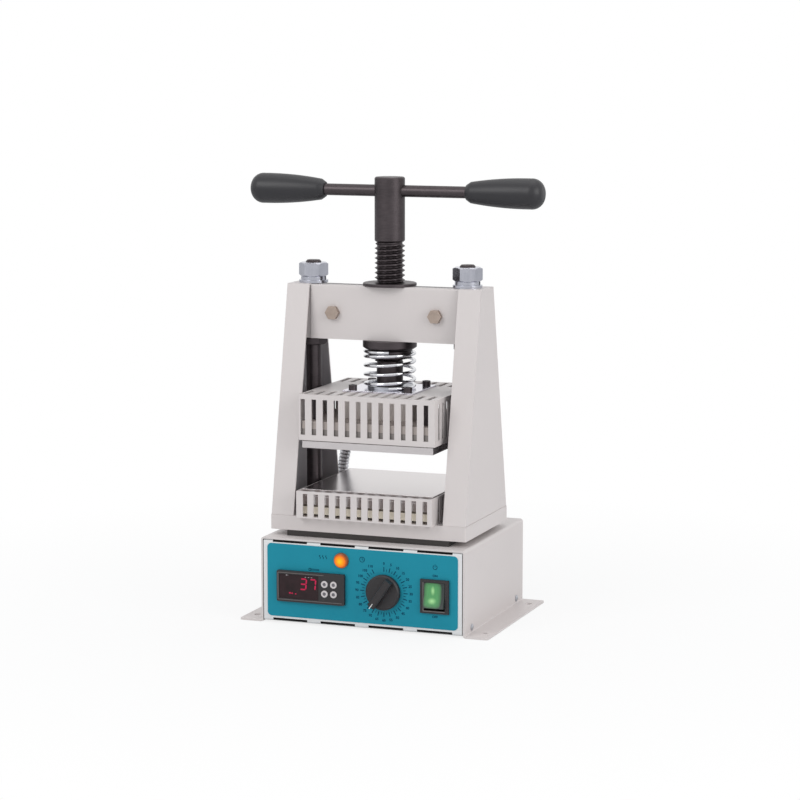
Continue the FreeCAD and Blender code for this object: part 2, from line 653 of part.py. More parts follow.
def panel_openings(plan, drawing):
    """Cut-outs for the controller and the switch, and holes for the lamp and the timer's bush."""
    plan.rectangle(drawing, ("controller_x - controller_cut_x/2", "controller_x + controller_cut_x/2"),
                   ("controller_z - controller_cut_z/2", "controller_z + controller_cut_z/2"))
    switch_x, switch_z = "(switch_open_x/2 + switch_wall)", "(switch_open_z/2 + switch_wall)"
    plan.rectangle(drawing, (f"switch_x - {switch_x}", f"switch_x + {switch_x}"),
                   (f"switch_z - {switch_z}", f"switch_z + {switch_z}"))
    plan.circles(drawing, "lamp_barrel", [("lamp_x", "lamp_z")])
    plan.circles(drawing, "timer_bush", [("timer_x", "timer_z")])


def panel_label():
    """Printed film on the front panel."""
    plan = Plan("PanelLabel")
    film = plan.sketch("XZ", lift="-box_front")
    plan.rectangle(film, ("-label_half_width", "label_half_width"), ("label_bottom", "label_top"))
    plan.pad(film, "label_thickness")
    corners = [(x, z) for x in mirrored("label_half_width") for z in ("label_bottom", "label_top")]
    plan.round_off("Fillet", "label_corner", "y", corners)
    holes = plan.sketch("XZ", lift="-film_front")
    panel_openings(plan, holes)
    plan.pocket(holes, "2*label_thickness")
    node("panel_label", plan.body)


def dome_screws():
    """Four domed screws through the cover's walls into the chassis's lips."""
    screws = []
    for side, sign in SIDES.items():
        for row, y in zip(("Front", "Back"), mirrored("side_screw_span/2")):
            turn = Rotation(Vector(0, 1, 0), 90 * float(sign))
            plan = Plan(f"SideScrew{side}{row}", f"{sign}*wall_half", y, "side_screw_height", turn)
            profile = plan.sketch("XZ")
            shank = "-(base_sheet + chassis_gap + base_sheet + 1)"
            plan.outline(profile, [
                ("0", shank), ("side_screw_bore/2 - 0.1", shank), ("side_screw_bore/2 - 0.1", "0"),
                ("side_screw_head/2", "0"), ("side_screw_head/2", "0.8"), ("0", "2.2")])
            plan.revolve(profile)
            screws.append(plan.body)
    node("cover_screws", group("CoverScrews", *screws))


def controller():
    """Temperature controller: bezel and case in one, a window and four keys."""
    half_x, half_z = "controller_width/2", "controller_height/2"
    plan = Plan("ControllerCase")
    bezel = plan.sketch("XZ", lift="-film_front")
    plan.rectangle(bezel, (f"controller_x - {half_x}", f"controller_x + {half_x}"),
                   (f"controller_z - {half_z}", f"controller_z + {half_z}"))
    plan.pad(bezel, "controller_proud")
    plan.round_off("Fillet", "1.5", "y", [
        (f"controller_x {a} {half_x}", f"controller_z {b} {half_z}") for a in "+-" for b in "+-"])
    case = plan.sketch("XZ", lift="-film_front")
    plan.rectangle(case, ("controller_x - controller_cut_x/2 + 0.3", "controller_x + controller_cut_x/2 - 0.3"),
                   ("controller_z - controller_cut_z/2 + 0.3", "controller_z + controller_cut_z/2 - 0.3"))
    plan.pad(case, "controller_case_depth", back=True)
    left = "(controller_left + window_inset)"
    window = plan.sketch("XZ", lift="-bezel_front")
    plan.rectangle(window, (left, f"{left} + window_width"),
                   ("controller_z - window_height/2", "controller_z + window_height/2"))
    plan.pocket(window, "window_recess + window_pane")
    keys = plan.sketch("XZ", lift="-bezel_front")
    places = [(f"key_left_x + {i}*key_pitch", f"key_low_z + {j}*key_pitch") for j in (1, 0) for i in (0, 1)]
    plan.circles(keys, "key_diameter", places)
    plan.pocket(keys, "controller_proud + 2*key_travel")
    node("controller_case", plan.body)

    pane = block("ControllerWindow", (left, f"{left} + window_width"),
                 ("bezel_front + window_recess", "bezel_front + window_recess + window_pane"),
                 ("controller_z - window_height/2", "controller_z + window_height/2"))
    node("controller_window", pane)

    for index, (x, z) in enumerate(places, start=1):
        key = Plan(f"Key{index}", x, "bezel_front", z)
        profile = key.sketch("XY")
        radius, back = "(key_diameter/2 - slide_fit)", "(controller_proud + 0.4*key_travel)"
        key.outline(profile, [
            ("0", "-key_proud - 0.2"), (f"{radius} - 0.8", "-key_proud"), (radius, "-key_proud + 0.8"),
            (radius, back), ("0", back)])
        key.revolve(profile)
        node(f"controller_key_{index}", key.body)


def lamp():
    """Pilot lamp: a domed lens in front of the film, on a barrel with its nut behind the panel."""
    lens = Plan("LampLens", "lamp_x", "film_front", "lamp_z")
    profile = lens.sketch("XY")
    lens.outline(profile, [
        ("0", "0"), ("lamp_diameter/2", "0"), ("lamp_diameter/2", "-lamp_proud + 2"),
        ("lamp_diameter/2 - 0.6", "-lamp_proud + 1.4", "24"), ("0", "-lamp_proud")])
    lens.revolve(profile)
    node("lamp_lens", lens.body)
    barrel = rod("LampBarrel", "lamp_barrel", "lamp_depth", "lamp_x", "film_front", "lamp_z", "Y")
    nut = cut("LampNut", hexagon("LampNutHex", "lamp_barrel + 4", "3", "lamp_x", "panel_back", "lamp_z", "Y"),
              rod("LampNutBore", "lamp_barrel", "3", "lamp_x", "panel_back", "lamp_z", "Y"))
    tabs = [block(f"LampTab{i}", (f"lamp_x {s} 3 - 1.4", f"lamp_x {s} 3 + 1.4"),
                  ("film_front + lamp_depth", "film_front + lamp_depth + 8"), ("lamp_z - 0.4", "lamp_z + 0.4"))
            for i, s in enumerate("+-")]
    node("lamp_body", join("LampBody", barrel, *tabs))
    return nut


def timer():
    """Mechanical timer behind the panel, with its bush, nut, shaft and knob."""
    half, back = "timer_case/2", "(panel_back + timer_case_depth)"
    case = block("TimerCase", (f"timer_x - {half}", f"timer_x + {half}"), ("panel_back", back),
                 (f"timer_z - {half}", f"timer_z + {half}"))
    bush = rod("TimerBush", "timer_bush", "panel_back - film_front + 3", "timer_x", "film_front - 3", "timer_z", "Y")
    bore = rod("TimerBore", "timer_shaft + 2*running_fit", "panel_back - film_front + 13",
               "timer_x", "film_front - 3", "timer_z", "Y")
    node("timer_body", cut("TimerBody", join("TimerSolid", case, bush), bore))
    nut = hexagon("TimerNutHex", "timer_bush + 4", "2.4", "timer_x", "film_front - 2.4", "timer_z", "Y")
    nut = cut("TimerNut", nut, rod("TimerNutBore", "timer_bush", "2.4", "timer_x", "film_front - 2.4",
                                   "timer_z", "Y"))
    node("timer_shaft", rod("TimerShaft", "timer_shaft", "knob_proud - 3 + 11", "timer_x",
                            "film_front - knob_proud + 3", "timer_z", "Y"))

    knob = Plan("TimerKnob", "timer_x", "film_front", "timer_z", Rotation(Vector(0, 1, 0), number("knob_turn")))
    front, back = "(-knob_clear - knob_skirt)", "-knob_clear"
    profile = knob.sketch("XY")
    knob.outline(profile, [
        ("0", "-knob_proud + 3"), ("0", front), ("knob_diameter/2 - 1.5", front),
        ("knob_diameter/2", f"{front} + 1.5"), ("knob_diameter/2", back), ("knob_diameter/2 - 2", back),
        ("knob_diameter/2 - 2", f"{back} - 3"), ("timer_bush/2 + 4", f"{back} - 3"),
        ("timer_bush/2 + 4", f"{front} + 1.2"), ("timer_shaft/2", f"{front} + 1.2"),
        ("timer_shaft/2", "-knob_proud + 3")][1:])
    knob.revolve(profile)
    ridge = knob.sketch("XY")
    reach, nose = "(knob_diameter/2 - 1.6)", "(knob_ridge/2)"
    knob.outline(ridge, [
        (f"-{nose}", f"{front} + 1"), (f"-{nose}", "-knob_proud + 1.6"), (f"-{nose} + 1.2", "-knob_proud"),
        (f"{nose} - 1.2", "-knob_proud"), (nose, "-knob_proud + 1.6"), (nose, f"{front} + 1")])
    knob.pad(ridge, f"2*{reach}", both=True)
    bore = knob.sketch("XZ", lift="0")
    knob.circles(bore, "timer_shaft", [("0", "0")])
    knob.pocket(bore, "knob_proud - 3", back=True)
    node("timer_knob", knob.body)
    return nut


def mains_switch():
    """Mains switch: a frame with its body behind, and a rocker on two pins."""
    half_x, half_z = "(switch_open_x/2)", "(switch_open_z/2)"
    frame = Plan("SwitchFrame")
    bezel = frame.sketch("XZ", lift="-film_front")
    frame.rectangle(bezel, ("switch_x - switch_width/2", "switch_x + switch_width/2"),
                    ("switch_z - switch_height/2", "switch_z + switch_height/2"))
    frame.pad(bezel, "switch_proud")
    body = frame.sketch("XZ", lift="-film_front")
    frame.rectangle(body, (f"switch_x - {half_x} - switch_wall", f"switch_x + {half_x} + switch_wall"),
                    (f"switch_z - {half_z} - switch_wall", f"switch_z + {half_z} + switch_wall"))
    frame.pad(body, "switch_depth", back=True)
    opening = frame.sketch("XZ", lift="-switch_front")
    frame.rectangle(opening, (f"switch_x - {half_x}", f"switch_x + {half_x}"),
                    (f"switch_z - {half_z}", f"switch_z + {half_z}"))
    frame.pocket(opening, "rocker_pivot + 6")
    pins = frame.sketch("YZ", lift="switch_x")
    frame.circles(pins, "rocker_pin + 2*running_fit", [("pivot_y", "switch_z")])
    pin_reach = f"({half_x} + switch_wall/2)"
    holes = frame.feature("Pocket", pins)
    holes.SideType = "Symmetric"
    bind(holes, Length=f"2*({pin_reach} + rocker_play)")
    node("switch_frame", frame.body)

    tilt = Rotation(Vector(1, 0, 0), -number("rocker_tilt"))
    rocker = Plan("Rocker", "switch_x", "pivot_y", "switch_z", tilt)
    side = rocker.sketch("YZ")
    tip, crown = f"({half_z} - 1.55)", "(-rocker_pivot - 2.4)"
    rocker.outline(side, [
        (crown, f"-{tip}"), ("-3", f"-{tip} - 0.6"), ("2", "-8"), ("2", "8"), ("-3", f"{tip} + 0.6"),
        (crown, tip), (f"{crown} + 1.9", "0")])
    rocker.pad(side, f"2*({half_x} - rocker_play)", both=True)
    pivot = rocker.sketch("YZ")
    rocker.circles(pivot, "rocker_pin", [("0", "0")])
    rocker.pad(pivot, f"2*{pin_reach}", both=True)
    node("switch_rocker", rocker.body)


def mains_inlet():
    """Snap-in appliance inlet with its three pins, on the back panel, and a fuse holder above it."""
    half_x, half_z = "inlet_body_x/2", "inlet_body_z/2"
    plan = Plan("InletSocket")
    flange = plan.sketch("XZ", lift="-box_back")
    plan.rectangle(flange, ("inlet_x - inlet_flange_x/2", "inlet_x + inlet_flange_x/2"),
                   ("inlet_z - inlet_flange_z/2 - 1", "inlet_z + inlet_flange_z/2 + 1"))
    plan.pad(flange, "3", back=True)
    plan.round_off("Fillet", "5", "y", [
        (f"inlet_x {a} inlet_flange_x/2", f"inlet_z {b} (inlet_flange_z/2 + 1)") for a in "+-" for b in "+-"])
    body = plan.sketch("XZ", lift="-box_back")
    plan.rectangle(body, (f"inlet_x - {half_x} + 0.2", f"inlet_x + {half_x} - 0.2"),
                   (f"inlet_z - {half_z} + 0.2", f"inlet_z + {half_z} - 0.2"))
    plan.pad(body, "inlet_depth")
    cavity = plan.sketch("XZ", lift="-(box_back + 3)")
    plan.rectangle(cavity, (f"inlet_x - {half_x} + 1.5", f"inlet_x + {half_x} - 1.5"),
                   (f"inlet_z - {half_z} + 1.5", f"inlet_z + {half_z} - 1.5"))
    plan.pocket(cavity, "17", back=True)
    for x, z in ((-7, -2), (7, -2), (0, 2)):
        blade = plan.sketch("XZ", lift="-(box_back - 14)")
        plan.rectangle(blade, (f"inlet_x + {x} - 1", f"inlet_x + {x} + 1"),
                       (f"inlet_z + {z} - 2", f"inlet_z + {z} + 2"))
        plan.pad(blade, "10", back=True)
    node("inlet_socket", plan.body)
    barrel = rod("FuseBarrel", "fuse_bore - 0.2", "34", "inlet_x", "box_back - 32", "fuse_z", "Y")
    cap = rod("FuseCapDisc", "fuse_cap", "3", "inlet_x", "box_back", "fuse_z", "Y")
    slot = block("FuseSlot", ("inlet_x - 4", "inlet_x + 4"), ("box_back + 2", "box_back + 4"),
                 ("fuse_z - 0.6", "fuse_z + 0.6"))
    node("fuse_holder", cut("FuseHolder", join("FuseSolid", barrel, cap), slot))


def inside_the_box():
    """Terminal block on the chassis floor."""
    floor = "(chassis_lift + base_sheet)"
    body = block("TerminalBody", ("-70", "-10"), ("10", "32"), (floor, f"{floor} + 17"))
    wells = [rod(f"TerminalWell{i}", "5", "8", f"{-65 + 10 * i}", f"{y}", f"{floor} + 12")
             for i in range(6) for y in (15, 27)]
    node("terminal_block", cut("TerminalBlock", body, *wells))


def press_base():
    """Insulating spacer and base plate on the box, with their four screws from inside it."""
    y = ("press_y - plate_half_depth", "press_y + plate_half_depth")
    spots = corners_of("plate_screw_x", "plate_screw_y")
    spacer = block("SpacerSlab", ("-spacer_half_width", "spacer_half_width"), y, ("base_height", "plate_bottom"))
    ways = [rod(f"SpacerHole{i}", "plate_screw + 2*rod_clearance", "spacer_thickness", *spot, "base_height")
            for i, spot in enumerate(spots)]
    lead = rod("SpacerLead", "lead_hole", "spacer_thickness", "0", "press_y + lead_hole_back", "base_height")
    node("insulating_spacer", cut("InsulatingSpacer", spacer, lead, *ways))

    plan = Plan("BasePlate")
    slab = plan.sketch("XY", lift="plate_bottom")
    plan.rectangle(slab, ("-plate_half_width", "plate_half_width"), y)
    plan.pad(slab, "plate_thickness")
    corners = [(x, place) for x in mirrored("plate_half_width") for place in y]
    plan.round_off("Chamfer", "1", "z", corners)
    through = plan.sketch("XY", lift="plate_top")
    plan.circles(through, "rod_diameter", [(x, "press_y") for x in mirrored("rod_x")])
    plan.circles(through, "lead_hole", [("0", "press_y + lead_hole_back")])
    plan.circles(through, "lower_screw + 1", corners_of("lower_screw_x", "lower_screw_y"))
    plan.pocket(through, "plate_thickness")
    taps = plan.sketch("XY", lift="plate_bottom")
    plan.circles(taps, "plate_screw", spots)
    plan.pocket(taps, "plate_thickness - 2", back=True)
    sinks = plan.sketch("XY", lift="plate_bottom")
    plan.circles(sinks, "lower_screw_head + 1", corners_of("lower_screw_x", "lower_screw_y"))
    plan.pocket(sinks, "lower_screw_sink", back=True)
    node("base_plate", plan.body)

    screws = []
    for index, spot in enumerate(spots):
        length = "base_sheet + spacer_thickness + plate_thickness - 3"
        shank = rod(f"PlateShank{index}", "plate_screw", length, *spot, "chassis_top")
        head = hexagon(f"PlateHead{index}", "plate_screw_head", "4", *spot, "chassis_top - 4")
        screws.append(join(f"PlateScrew{index}", shank, head))
    node("plate_screws", group("PlateScrews", *screws))


def tie_rods():
    """Two tie rods screwed into the base plate, with washers, split washers and nuts on top."""
    washers, locks, nuts = [], [], []
    for side, sign in SIDES.items():
        x = f"{sign}*rod_x"
        plan = Plan(f"TieRod{side}", x, "press_y", "plate_bottom")
        profile = plan.sketch("XZ")
        top = "(rod_top - plate_bottom)"
        plan.outline(profile, [
            ("0", "0"), ("rod_diameter/2", "0"), ("rod_diameter/2", f"{top} - rod_chamfer"),
            ("rod_diameter/2 - rod_chamfer", top), ("0", top)])
        plan.revolve(profile)
        node(f"tie_rod_{side}", plan.body)
        washer = rod(f"WasherDisc{side}", "washer_diameter", "washer_thickness", x, "press_y", "column_top")
        hole = rod(f"WasherHole{side}", "rod_diameter + 2*rod_clearance", "washer_thickness", x, "press_y",
                   "column_top")
        washers.append(cut(f"Washer{side}", washer, hole))
        base = "column_top + washer_thickness"
        disc = rod(f"LockDisc{side}", "lock_washer_diameter", "lock_washer_thickness", x, "press_y", base)
        hole = rod(f"LockHole{side}", "rod_diameter + 0.4", "lock_washer_thickness", x, "press_y", base)
        gap = block(f"LockGap{side}", (x, f"{x} + lock_washer_diameter"),
                    ("press_y - lock_washer_split/2", "press_y + lock_washer_split/2"),
                    (base, "nut_bottom"))
        locks.append(cut(f"LockWasher{side}", disc, hole, gap))
        nuts.append(turned_nut(f"RodNut{side}", x, "nut_bottom", "nut_height"))
        nuts.append(turned_nut(f"BeamNut{side}", x, "beam_bottom - lower_nut_height", "lower_nut_height"))
    node("rod_washers", group("RodWashers", *washers, *locks))
    node("rod_nuts", group("RodNuts", *nuts))


def turned_nut(name, x, z, height):
    """A hexagon nut whose corners are turned off at both ends."""
    hexagonal = hexagon(f"{name}Hex", "nut_flats", height, x, "press_y", z)
    turned = Plan(f"{name}Turned", x, "press_y", z)
    profile = turned.sketch("XZ")
    inside, corner = "nut_flats/2 - 0.6", "nut_flats/sqrt(3)"
    turned.outline(profile, [
        ("0", "0"), (inside, "0"), (corner, "1.4"), (corner, f"{height} - 1.4"), (inside, height),
        ("0", height)])
    turned.revolve(profile)
    both = doc.addObject("Part::Common", f"{name}Solid")
    both.Base = hexagonal
    both.Tool = turned.body
    bore = rod(f"{name}Bore", "rod_diameter", height, x, "press_y", z)
    return cut(name, both, bore)


def column_covers():
    """Tapered channels round the tie rods, open towards the press, closed on top round the rod."""
    for side, sign in SIDES.items():
        plan = Plan(f"ColumnCover{side}", y="press_y", z="plate_top")
        inner, outer = f"{sign}*column_inner_x", f"{sign}*column_outer"
        shell = plan.sketch("YZ", lift=inner)
        plan.outline(shell, [
            ("-column_foot", "0"), ("column_foot", "0"), ("column_head", "column_height"),
            ("-column_head", "column_height")])
        plan.pad(shell, "column_width", back=side == "left")
        hollow = plan.sketch("YZ", lift=inner)
        foot = "(column_foot - column_wall)"
        head = "(column_head - column_wall + column_slope*column_sheet)"
        roof = "(column_height - column_sheet)"
        plan.outline(hollow, [(f"-{foot}", "0"), (foot, "0"), (head, roof), (f"-{head}", roof)])
        plan.pocket(hollow, "column_width - column_sheet", back=side == "right")
        notch = plan.sketch("XY", lift="column_height")
        width = "(rod_diameter/2 + rod_clearance)"
        span = [inner, f"{sign}*(rod_x + {width})"]
        if side == "left":
            span.reverse()
        plan.rectangle(notch, span, (f"-{width}", width))
        plan.pocket(notch, "column_sheet")
        node(f"column_cover_{side}", plan.body)


def beam():
    """Crossbeam bar, the sheet over its front, two bolts, the screw's nut below and the ring on top."""
    front, back = "press_y - beam_front", "press_y + beam_back"
    bar = Plan("Crossbeam")
    slab = bar.sketch("XY", lift="beam_bottom")
    bar.rectangle(slab, ("-beam_half", "beam_half"), (front, back))
    bar.pad(slab, "beam_height")
    bores = bar.sketch("XY", lift="beam_top")
    bar.circles(bores, "rod_diameter + 2*rod_clearance", [(x, "press_y") for x in mirrored("rod_x")])
    bar.circles(bores, "thread_diameter + 2*thread_clear", [("0", "press_y")])
    bar.pocket(bores, "beam_height")
    taps = bar.sketch("XZ", lift=f"-({front})")
    bar.circles(taps, "beam_bolt", [(x, "beam_bolt_z") for x in mirrored("beam_bolt_x")])
    bar.pocket(taps, "beam_bolt_depth + 2")
    node("crossbeam", bar.body)

    cover = Plan("BeamCover")
    inner_front = f"({front})"
    profile = cover.sketch("YZ")
    cover.outline(profile, [
        ("beam_cover_front", "beam_bottom"), (inner_front, "beam_bottom"), (inner_front, "beam_top"),
        ("beam_cover_front + beam_cover_lip", "beam_top"),
        ("beam_cover_front + beam_cover_lip", "beam_cover_top"), ("beam_cover_front", "beam_cover_top")])
    cover.pad(profile, "2*beam_cover_half", both=True)
    cover.round_off("Fillet", "beam_cover_sheet", "x", [("beam_cover_front", "beam_cover_top")])
    holes = cover.sketch("XZ", lift="-beam_cover_front")
    cover.circles(holes, "beam_bolt + 1", [(x, "beam_bolt_z") for x in mirrored("beam_bolt_x")])
    cover.pocket(holes, "2*beam_cover_sheet")
    relief = cover.sketch("XY", lift="beam_cover_top")
    cover.circles(relief, "thread_diameter + 2*thread_clear + 2", [("0", "press_y")])
    cover.circles(relief, "rod_diameter + 2*rod_clearance", [(x, "press_y") for x in mirrored("rod_x")])
    cover.pocket(relief, "beam_cover_sheet")
    node("beam_cover", cover.body)

    bolts = []
    for side, sign in SIDES.items():
        x = f"{sign}*beam_bolt_x"
        length = "beam_cover_sheet + beam_bolt_depth"
        shank = rod(f"BeamShank{side}", "beam_bolt", length, x, "beam_cover_front", "beam_bolt_z", "Y")
        head = hexagon(f"BeamHead{side}", "beam_bolt_flats", "beam_bolt_head", x,
                       "beam_cover_front - beam_bolt_head", "beam_bolt_z", "Y")
        bolts.append(join(f"BeamBolt{side}", shank, head))
    node("beam_bolts", group("BeamBolts", *bolts))

    collar = Plan("ScrewNut", y="press_y")
    profile = collar.sketch("XZ")
    bore, boss = "(thread_diameter/2 + running_fit)", "collar_boss/2"
    collar.outline(profile, [
        (bore, "boss_bottom"), (f"{boss} - 1", "boss_bottom"), (boss, "boss_bottom + 1"), (boss, "taper_bottom"),
        ("collar_diameter/2", "flange_bottom"), ("collar_diameter/2", "beam_bottom"), (bore, "beam_bottom")])
    collar.revolve(profile)
    node("screw_nut", collar.body)

    ring = Plan("BeamRing", y="press_y")
    profile = ring.sketch("XZ")
    bore = "(thread_diameter/2 + thread_clear + 0.6)"
    ring.outline(profile, [
        (bore, "beam_cover_top"), ("ring_diameter/2", "beam_cover_top"), ("ring_diameter/2", "ring_top - 0.6"),
        ("ring_diameter/2 - 0.6", "ring_top"), (bore, "ring_top")])
    ring.revolve(profile)
    node("beam_ring", ring.body)


def slotted_guard(name, front, back, bottom, height, open_top, slots):
    """A folded guard with rows of upright slots through all four walls."""
    plan = Plan(name, y="press_y", z=bottom)
    shell = plan.sketch("XY")
    plan.rectangle(shell, ("-guard_half_width", "guard_half_width"), (f"-({front})", back))
    plan.pad(shell, height)
    plan.round_off("Fillet", "guard_sheet", "z", [
        (x, y) for x in mirrored("guard_half_width") for y in (f"-({front})", back)])
    hollow = plan.sketch("XY")
    inside = ("-guard_half_width + guard_sheet", "guard_half_width - guard_sheet")
    plan.rectangle(hollow, inside, (f"-({front}) + guard_sheet", f"{back} - guard_sheet"))
    plan.pocket(hollow, height if open_top else f"{height} - guard_sheet", back=True)
    pitch, width, levels = slots["pitch"], slots["width"], slots["levels"]
    for plane, copies, middle in (("XZ", slots["count"], "0"), ("YZ", slots["sides"], f"(({back}) - ({front}))/2")):
        slot = plan.sketch(plane)
        first = f"({middle} - {pitch}*({copies} - 1)/2)"
        plan.rectangle(slot, (f"{first} - {width}/2", f"{first} + {width}/2"), levels)
        plan.row(plan.pocket(slot), "H_Axis", f"{pitch}*({copies} - 1)", copies)
    return plan


def lower_unit():
    """Lower platen on its heater block, heater, board and stand-offs, screwed up from the base plate."""
    guard = slotted_guard("LowerGuard", "lower_guard_front", "lower_guard_back", "plate_top",
                          "lower_guard_height", True, {
                              "pitch": "lower_slot_pitch", "width": "lower_slot_width",
                              "count": "lower_slot_count", "sides": "lower_side_slot_count",
                              "levels": ("lower_slot_foot", "lower_guard_height - lower_slot_head")})
    node("lower_guard", guard.body)
    x = ("-platen_half_width", "platen_half_width")
    y = ("press_y - platen_half_depth", "press_y + platen_half_depth + 4")
    spots = corners_of("lower_screw_x", "lower_screw_y")
    node("lower_platen", block("LowerPlaten", x, y, ("lower_block_top", "working_face")))
    layers = (("lower_heater_block", "lower_block_bottom", "lower_block_top"),
              ("lower_heater", "lower_heater_bottom", "lower_block_bottom"),
              ("lower_board", "lower_board_bottom", "lower_heater_bottom"))
    for name, low, high in layers:
        title = name.title().replace("_", "")
        slab = block(f"{title}Slab", x, y, (low, high))
        depth = "lower_screw_grip + 1" if name == "lower_heater_block" else f"({high}) - ({low})"
        bore = "lower_screw" if name == "lower_heater_block" else "lower_screw + 1"
        holes = [rod(f"{title}Hole{i}", bore, depth, *spot, low) for i, spot in enumerate(spots)]
        node(name, cut(title, slab, *holes))
    fixings = []
    for index, spot in enumerate(spots):
        disc = rod(f"StandOffDisc{index}", "stand_off_diameter", "lower_board_bottom - plate_top", *spot, "plate_top")
        hole = rod(f"StandOffHole{index}", "lower_screw + 1", "lower_board_bottom - plate_top", *spot, "plate_top")
        fixings.append(cut(f"StandOff{index}", disc, hole))
        start = "plate_bottom + lower_screw_sink"
        length = f"lower_block_bottom + lower_screw_grip - ({start})"
        shank = rod(f"LowerShank{index}", "lower_screw", length, *spot, start)
        head = rod(f"LowerHead{index}", "lower_screw_head", "lower_screw_sink - 0.4", *spot, "plate_bottom + 0.4")
        fixings.append(join(f"LowerScrew{index}", shank, head))
    node("lower_platen_fixings", group("LowerPlatenFixings", *fixings))


def upper_unit():
    """Upper platen with its heater, board, posts and guard, and the housing that holds the screw's foot."""
    x = ("-platen_half_width", "platen_half_width")
    y = ("press_y - platen_half_depth", "press_y + platen_half_depth")
    node("upper_platen", block("UpperPlaten", x, y, ("upper_face", "upper_block_bottom")))
    node("upper_heater_block", block("UpperHeaterBlock", x, y, ("upper_block_bottom", "upper_block_top")))
    node("upper_heater", block("UpperHeater", x, y, ("upper_block_top", "upper_heater_top")))
    node("upper_board", block("UpperBoard", x, y, ("upper_heater_top", "upper_board_top")))
    height = "guard_ceiling - upper_board_top"
    posts = [rod(f"Post{i}", "post_diameter", height, *spot, "upper_board_top")
             for i, spot in enumerate(corners_of("post_x", "post_y"))]
    node("guard_posts", group("GuardPosts", *posts))

    guard = slotted_guard("UpperGuard", "upper_guard_half_depth", "upper_guard_half_depth", "upper_guard_bottom",
                          "upper_guard_height", False, {
                              "pitch": "upper_slot_pitch", "width": "upper_slot_width",
                              "count": "upper_slot_count", "sides": "upper_side_slot_count",
                              "levels": ("upper_slot_foot", "upper_guard_height - upper_slot_head")})
    first = "(-upper_slot_pitch*(upper_slot_count - 1)/2)"
    near, far = "(upper_guard_half_depth - top_slot_inset)", "(upper_guard_half_depth - top_slot_inset - top_slot_length)"
    for rows in ((f"-{near}", f"-{far}"), (far, near)):
        slot = guard.sketch("XY", lift="upper_guard_height")
        guard.rectangle(slot, (f"{first} - upper_slot_width/2", f"{first} + upper_slot_width/2"), rows)
        guard.row(guard.pocket(slot, "guard_sheet"), "H_Axis", "upper_slot_pitch*(upper_slot_count - 1)",
                  "upper_slot_count")
    top = guard.sketch("XY", lift="upper_guard_height")
    guard.circles(top, "shank_diameter + 2*shank_clear", [("0", "0")])
    spots = [(sx, sy) for sx in mirrored("housing_screw_x") for sy in mirrored("housing_screw_y")]
    guard.circles(top, "housing_screw + 1", spots)
    guard.pocket(top, "guard_sheet")
    rear = guard.sketch("XZ", lift="-upper_guard_half_depth")
    guard.circles(rear, "conduit_bore", [("elbow_x", "elbow_z - upper_guard_bottom")])
    guard.pocket(rear, "guard_sheet", back=True)
    node("upper_guard", guard.body)

    screw_places = corners_of("housing_screw_x", "housing_screw_y")
    slab = block("HousingSlab", ("-housing_half_width", "housing_half_width"),
                 ("press_y - housing_half_depth", "press_y + housing_half_depth"), ("upper_board_top", "guard_ceiling"))
    well = rod("HousingWell", "foot_diameter + 2*foot_clear", "guard_ceiling - bearing_bottom", "0", "press_y",
               "bearing_bottom")
    taps = [rod(f"HousingTap{i}", "housing_screw", "housing_screw_length + 1", *spot,
                "guard_ceiling - housing_screw_length") for i, spot in enumerate(screw_places)]
    node("thrust_housing", cut("ThrustHousing", slab, well, *taps))

    bearing = Plan("ThrustBearing", y="press_y", z="bearing_bottom")
    profile = bearing.sketch("XZ")
    inner, outer = "bearing_bore/2", "(foot_diameter/2 + foot_clear)"
    race = "(bearing_height/2 - 1)"
    bearing.outline(profile, [
        (inner, "0"), (outer, "0"), (outer, race), (f"{outer} - 3", race),
        (f"{outer} - 3", f"bearing_height - {race}"), (f"{outer} - 0.4", f"bearing_height - {race}"),
        (f"{outer} - 0.4", "bearing_height"), (inner, "bearing_height")])
    bearing.revolve(profile)
    node("thrust_bearing", bearing.body)

    retainer = block("RetainerSlab", ("-housing_half_width", "housing_half_width"),
                     ("press_y - housing_half_depth", "press_y + housing_half_depth"), ("upper_guard_top", "retainer_top"))
    shank_way = rod("RetainerBore", "shank_diameter + 2*shank_clear", "retainer_thickness", "0", "press_y",
                    "upper_guard_top")
    ways = [rod(f"RetainerHole{i}", "housing_screw + 1", "retainer_thickness", *spot, "upper_guard_top")
            for i, spot in enumerate(screw_places)]
    node("retaining_plate", cut("RetainingPlate", retainer, shank_way, *ways))

    screws = []
    for index, spot in enumerate(screw_places):
        shank = rod(f"CapShank{index}", "housing_screw", "housing_screw_length", *spot,
                    "retainer_top - housing_screw_length")
        head = rod(f"CapHead{index}", "housing_screw_head", "housing_screw", *spot, "retainer_top")
        key = hexagon(f"CapKey{index}", "housing_screw_key", "2.6", *spot, "retainer_top + housing_screw - 2.6")
        screws.append(cut(f"CapScrew{index}", join(f"CapSolid{index}", shank, head), key))
    node("cap_screws", group("CapScrews", *screws))

    seat = rod("SeatDisc", "seat_diameter", "seat_thickness", "0", "press_y", "retainer_top")
    seat_bore = rod("SeatBore", "shank_diameter + 2*shank_clear + 1", "seat_thickness", "0", "press_y", "retainer_top")
    node("spring_seat", cut("SpringSeat", seat, seat_bore))


